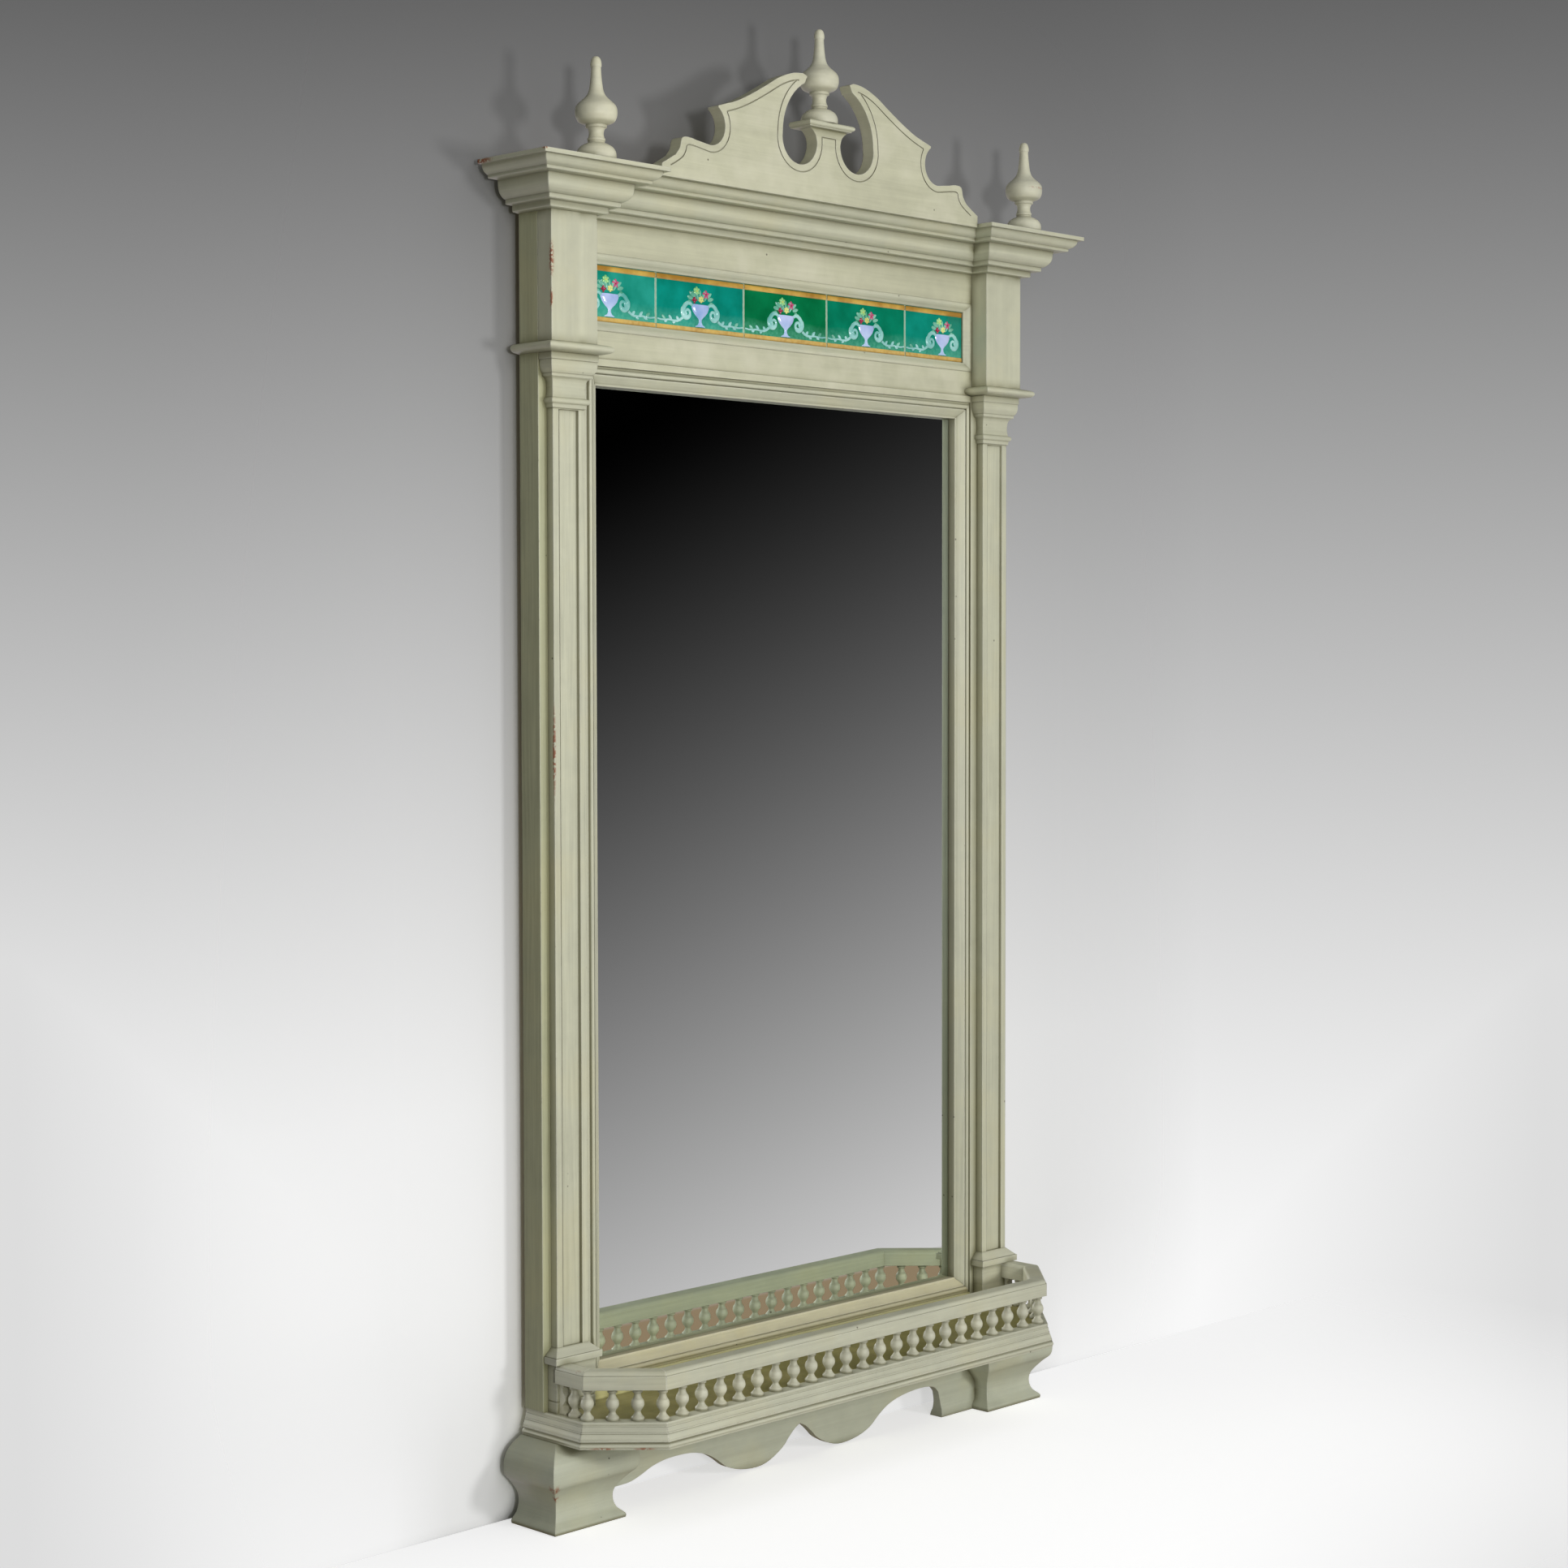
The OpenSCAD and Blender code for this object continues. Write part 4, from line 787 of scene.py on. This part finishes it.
def bud(mesh, middle, centre, angle, length, width, height, finish):
    """A petal or leaf: a short stroke that swells in its middle."""
    steps = 7
    line = [(centre[0] + length * (k / steps) * math.cos(radians(angle)),
             centre[1] + length * (k / steps) * math.sin(radians(angle))) for k in range(steps + 1)]
    swells = [math.sin(math.pi * (0.06 + 0.88 * k / steps)) ** 0.7 for k in range(steps + 1)]
    widths = [max(width * swell, 0.1) for swell in swells]
    raised_stroke(mesh, middle, line, widths, height, finish)


PETAL_WIDTH, PETAL_LIFT = 0.42, 1.3
HEART_HALF, HEART_LIFT = 0.28, 1.9


def blossom(mesh, middle, centre, radius, petals, finish, heart):
    """Round petals about a small heart. Their widths are shares of the radius."""
    for k in range(petals):
        bud(mesh, middle, centre, 90 + 360 * k / petals, radius, radius * PETAL_WIDTH, PETAL_LIFT, finish)
    half = radius * HEART_HALF
    bud(mesh, middle, (centre[0] - half, centre[1]), 0, half * 2, half, HEART_LIFT, heart)


print("stroke helpers ready")

# %% [markdown]
# All measures of the ornament are millimetres about the middle of the tile, across and up. The opening
# shows only a part of the first and of the last tile, so their bands and sprays stop short.

# %% Ornament of one tile
GLAZES = ("ochre", "vase", "scroll", "lime", "rose", "lemon", "crimson", "leaf")
OCHRE, VASE, SCROLL, LIME, ROSE, LEMON, CRIMSON, LEAF = range(8)
BANDS = ((30.6, 3.5), (-31.0, 3.1))
VASE_PROFILE = ((-27.2, 9.0), (-26.0, 8.4), (-24.4, 4.6), (-21.5, 2.7), (-18.5, 2.5), (-16.2, 4.4),
                (-12.5, 9.2), (-8.5, 13.0), (-4.0, 15.2), (-0.5, 16.2), (0.8, 15.4))
HANDLE = ((13.5, -1.0), (17.5, 1.6), (22.0, 1.6), (26.0, -1.2), (29.0, -5.8))
CURL_MIDDLE, CURL_RADIUS, CURL_STEPS, CURL_SHRINK = (22.6, -10.5), 8.4, 26, 0.28
SPRAY = ((30.5, -17.5), (35, -20.5), (40, -22.5), (46, -22.6), (53, -21.6), (60, -22.4), (68, -22.6),
         (74.5, -21.6))
SPRAY_WIDTHS = (2.0, 1.9, 1.7, 1.5, 1.4, 1.3, 1.2, 1.1)
SPRAY_LEAVES = ((37, 52, 7), (43, -38, 6), (49, 48, 8), (57, -30, 6), (60, 40, 8), (68, 30, 6))
SPRAY_LEVEL, SPRAY_LEAF_WIDTH = -22.2, 2.3
VASE_LEAVES = ((14, 14, 13), (34, 15, 12), (58, 13, 9), (-8, 9, 16))
VASE_LEAF_WIDTH, VASE_LEAF_SHARE, VASE_LEAVES_FLAT = 2.8, 0.72, 0.75
BUNCH_LEVEL, BUNCH_STEP, BUNCH_TURN, BUNCH_LENGTH, BUNCH_WIDTH, BUNCH_LIFT = 5.0, 3.2, 16, 14, 2.0, 1.0
BLOSSOMS = (
    ((-6.5, 17.5), 5.6, 6, LIME, LEMON),
    ((9.5, 14.0), 5.6, 5, ROSE, CRIMSON),
    ((1.2, 7.6), 4.6, 6, LEMON, LIME),
    ((-10.2, 6.2), 4.4, 4, CRIMSON, ROSE),
)
EDGE_GAP, BAND_STEPS = 0.4, 30
HANDLE_WIDTH, HANDLE_SWELL, HANDLE_SWELL_STEPS = 2.0, 1.9, 16
BAND_LIFT, VASE_LIFT, HANDLE_LIFT, SPRAY_LIFT, LEAF_LIFT = 1.0, 2.0, 1.5, 1.0, 1.1


def ornament(number, middle):
    """Builds the raised ornament of one tile as one piece."""
    mesh = bmesh.new()
    left = max(-TILE_HALF, -OPENING_HALF - middle) * 1000 + EDGE_GAP
    right = min(TILE_HALF, OPENING_HALF - middle) * 1000 - EDGE_GAP
    band = [left + (right - left) * k / BAND_STEPS for k in range(BAND_STEPS + 1)]
    for level, half in BANDS:
        raised_stroke(mesh, middle, [(u, level) for u in band], [half] * len(band), BAND_LIFT, OCHRE)
    stem = [(0, w) for w, _ in VASE_PROFILE]
    raised_stroke(mesh, middle, stem, [half for _, half in VASE_PROFILE], VASE_LIFT, VASE)
    for side in (-1, 1):
        handle = [(side * u, w) for u, w in HANDLE]
        curl_from, curl_to = (30, -430) if side > 0 else (150, 610)
        curl_middle = (side * CURL_MIDDLE[0], CURL_MIDDLE[1])
        line = handle + arc(curl_middle, CURL_RADIUS, curl_from, curl_to, CURL_STEPS, CURL_SHRINK)
        swells = [math.sin(math.pi * min(k / HANDLE_SWELL_STEPS, 1)) for k in range(len(line))]
        widths = [HANDLE_WIDTH + HANDLE_SWELL * swell for swell in swells]
        raised_stroke(mesh, middle, line, widths, HANDLE_LIFT, SCROLL)
        spray = [(side * u, w) for u, w in SPRAY if left + 1 < side * u < right - 1]
        if len(spray) > 3:
            raised_stroke(mesh, middle, spray, SPRAY_WIDTHS[:len(spray)], SPRAY_LIFT, SCROLL)
        for u, turn_by, length in SPRAY_LEAVES:
            if left + 8 < side * u < right - 8:
                angle = turn_by if side > 0 else 180 - turn_by
                finish = SCROLL if u % 2 else LEAF
                bud(mesh, middle, (side * u, SPRAY_LEVEL), angle, length, SPRAY_LEAF_WIDTH, LEAF_LIFT, finish)
        for angle, length, reach in VASE_LEAVES:
            up = BUNCH_LEVEL + reach * VASE_LEAVES_FLAT * math.sin(radians(angle))
            start = (side * reach * math.cos(radians(angle)), up)
            angle = angle if side > 0 else 180 - angle
            bud(mesh, middle, start, angle, length * VASE_LEAF_SHARE, VASE_LEAF_WIDTH, LEAF_LIFT, LEAF)
    for k in (-2, -1, 0, 1, 2):
        foot = (k * BUNCH_STEP, BUNCH_LEVEL)
        bud(mesh, middle, foot, 90 - k * BUNCH_TURN, BUNCH_LENGTH, BUNCH_WIDTH, BUNCH_LIFT, LEAF)
    for centre, radius, petals, finish, heart in BLOSSOMS:
        blossom(mesh, middle, centre, radius, petals, finish, heart)
    bmesh.ops.recalc_face_normals(mesh, faces=mesh.faces)
    data = bpy.data.meshes.new(f"tile_{number}_ornament")
    mesh.to_mesh(data)
    mesh.free()
    piece = bpy.data.objects.new(f"tile_{number}_ornament", data)
    scene.collection.objects.link(piece)
    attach(piece, "root")
    front_lit.objects.link(piece)
    return piece


glaze_colours = {
    "ochre": ((214, 176, 86), (168, 124, 50), (228, 200, 130)),
    "vase": ((196, 208, 248), (140, 172, 222), (200, 234, 250)),
    "scroll": ((172, 226, 220), (92, 176, 168), (190, 232, 232)),
    "lime": ((186, 238, 158), (120, 190, 120), (200, 240, 190)),
    "rose": ((206, 92, 136), (150, 44, 84), (226, 140, 170)),
    "lemon": ((238, 240, 150), (200, 190, 90), (240, 244, 190)),
    "crimson": ((184, 44, 74), (120, 20, 44), (204, 90, 110)),
    "leaf": ((140, 208, 184), (60, 150, 120), (170, 222, 208)),
}
glaze_finishes = [glazed("glaze_" + name, *[srgb(*tone) for tone in glaze_colours[name]]) for name in GLAZES]
DEEPER = (0.4, 0.84, 0.8)
for number, middle in enumerate(tile_centres, start=1):
    piece = ornament(number, middle)
    for finish in glaze_finishes:
        piece.data.materials.append(finish)
    colour = TILE_COLOURS[number - 1]
    deep = [level * share for level, share in zip(colour, DEEPER)]
    ground = glazed(f"glaze_ground_{number}", srgb(*colour), srgb(*deep), srgb(110, 196, 168),
                    middle=middle, thin=0.85)
    nodes[f"tile_{number}"].material_slots[0].material = ground
print("ornament faces per tile:", len(piece.data.polygons))

# %% [markdown]
# Each piece of joinery now gets its finish. The names say which way the piece runs.

# %% Give every piece its finish
FINISH_OF = (
    (("side_board",), side_paint),
    (("stile", "frame_mould_left", "frame_mould_right", "pilaster_shaft"), upright_paint),
    (("frieze_block",), block_paint),
    (("finial", "spindles", "gallery_end"), turned_paint),
    (("frieze_board", "pediment_board", "top_rail"), board_paint),
    (("foot", "apron"), foot_paint),
    (("shelf_board",), shelf_paint),
    (("frame_mould_bottom",), yellowed_paint),
    (("bottom_rail",), olive_paint),
    (("rail", "tray_mould", "pilaster_base"), gallery_paint),
    (("back_boards",), pine_upright),
    (("glue_blocks", "tile_backing", "top_board"), pine_level),
    (("mirror_glass",), mirror_finish),
)
count = 0
for name, piece in nodes.items():
    if name[:-1] == "tile_":
        continue
    finish = next((finish for words, finish in FINISH_OF if name.startswith(words)), level_paint)
    for place in range(len(piece.data.materials)):
        piece.material_slots[place].material = finish
        count += 1
print("finishes given:", count)
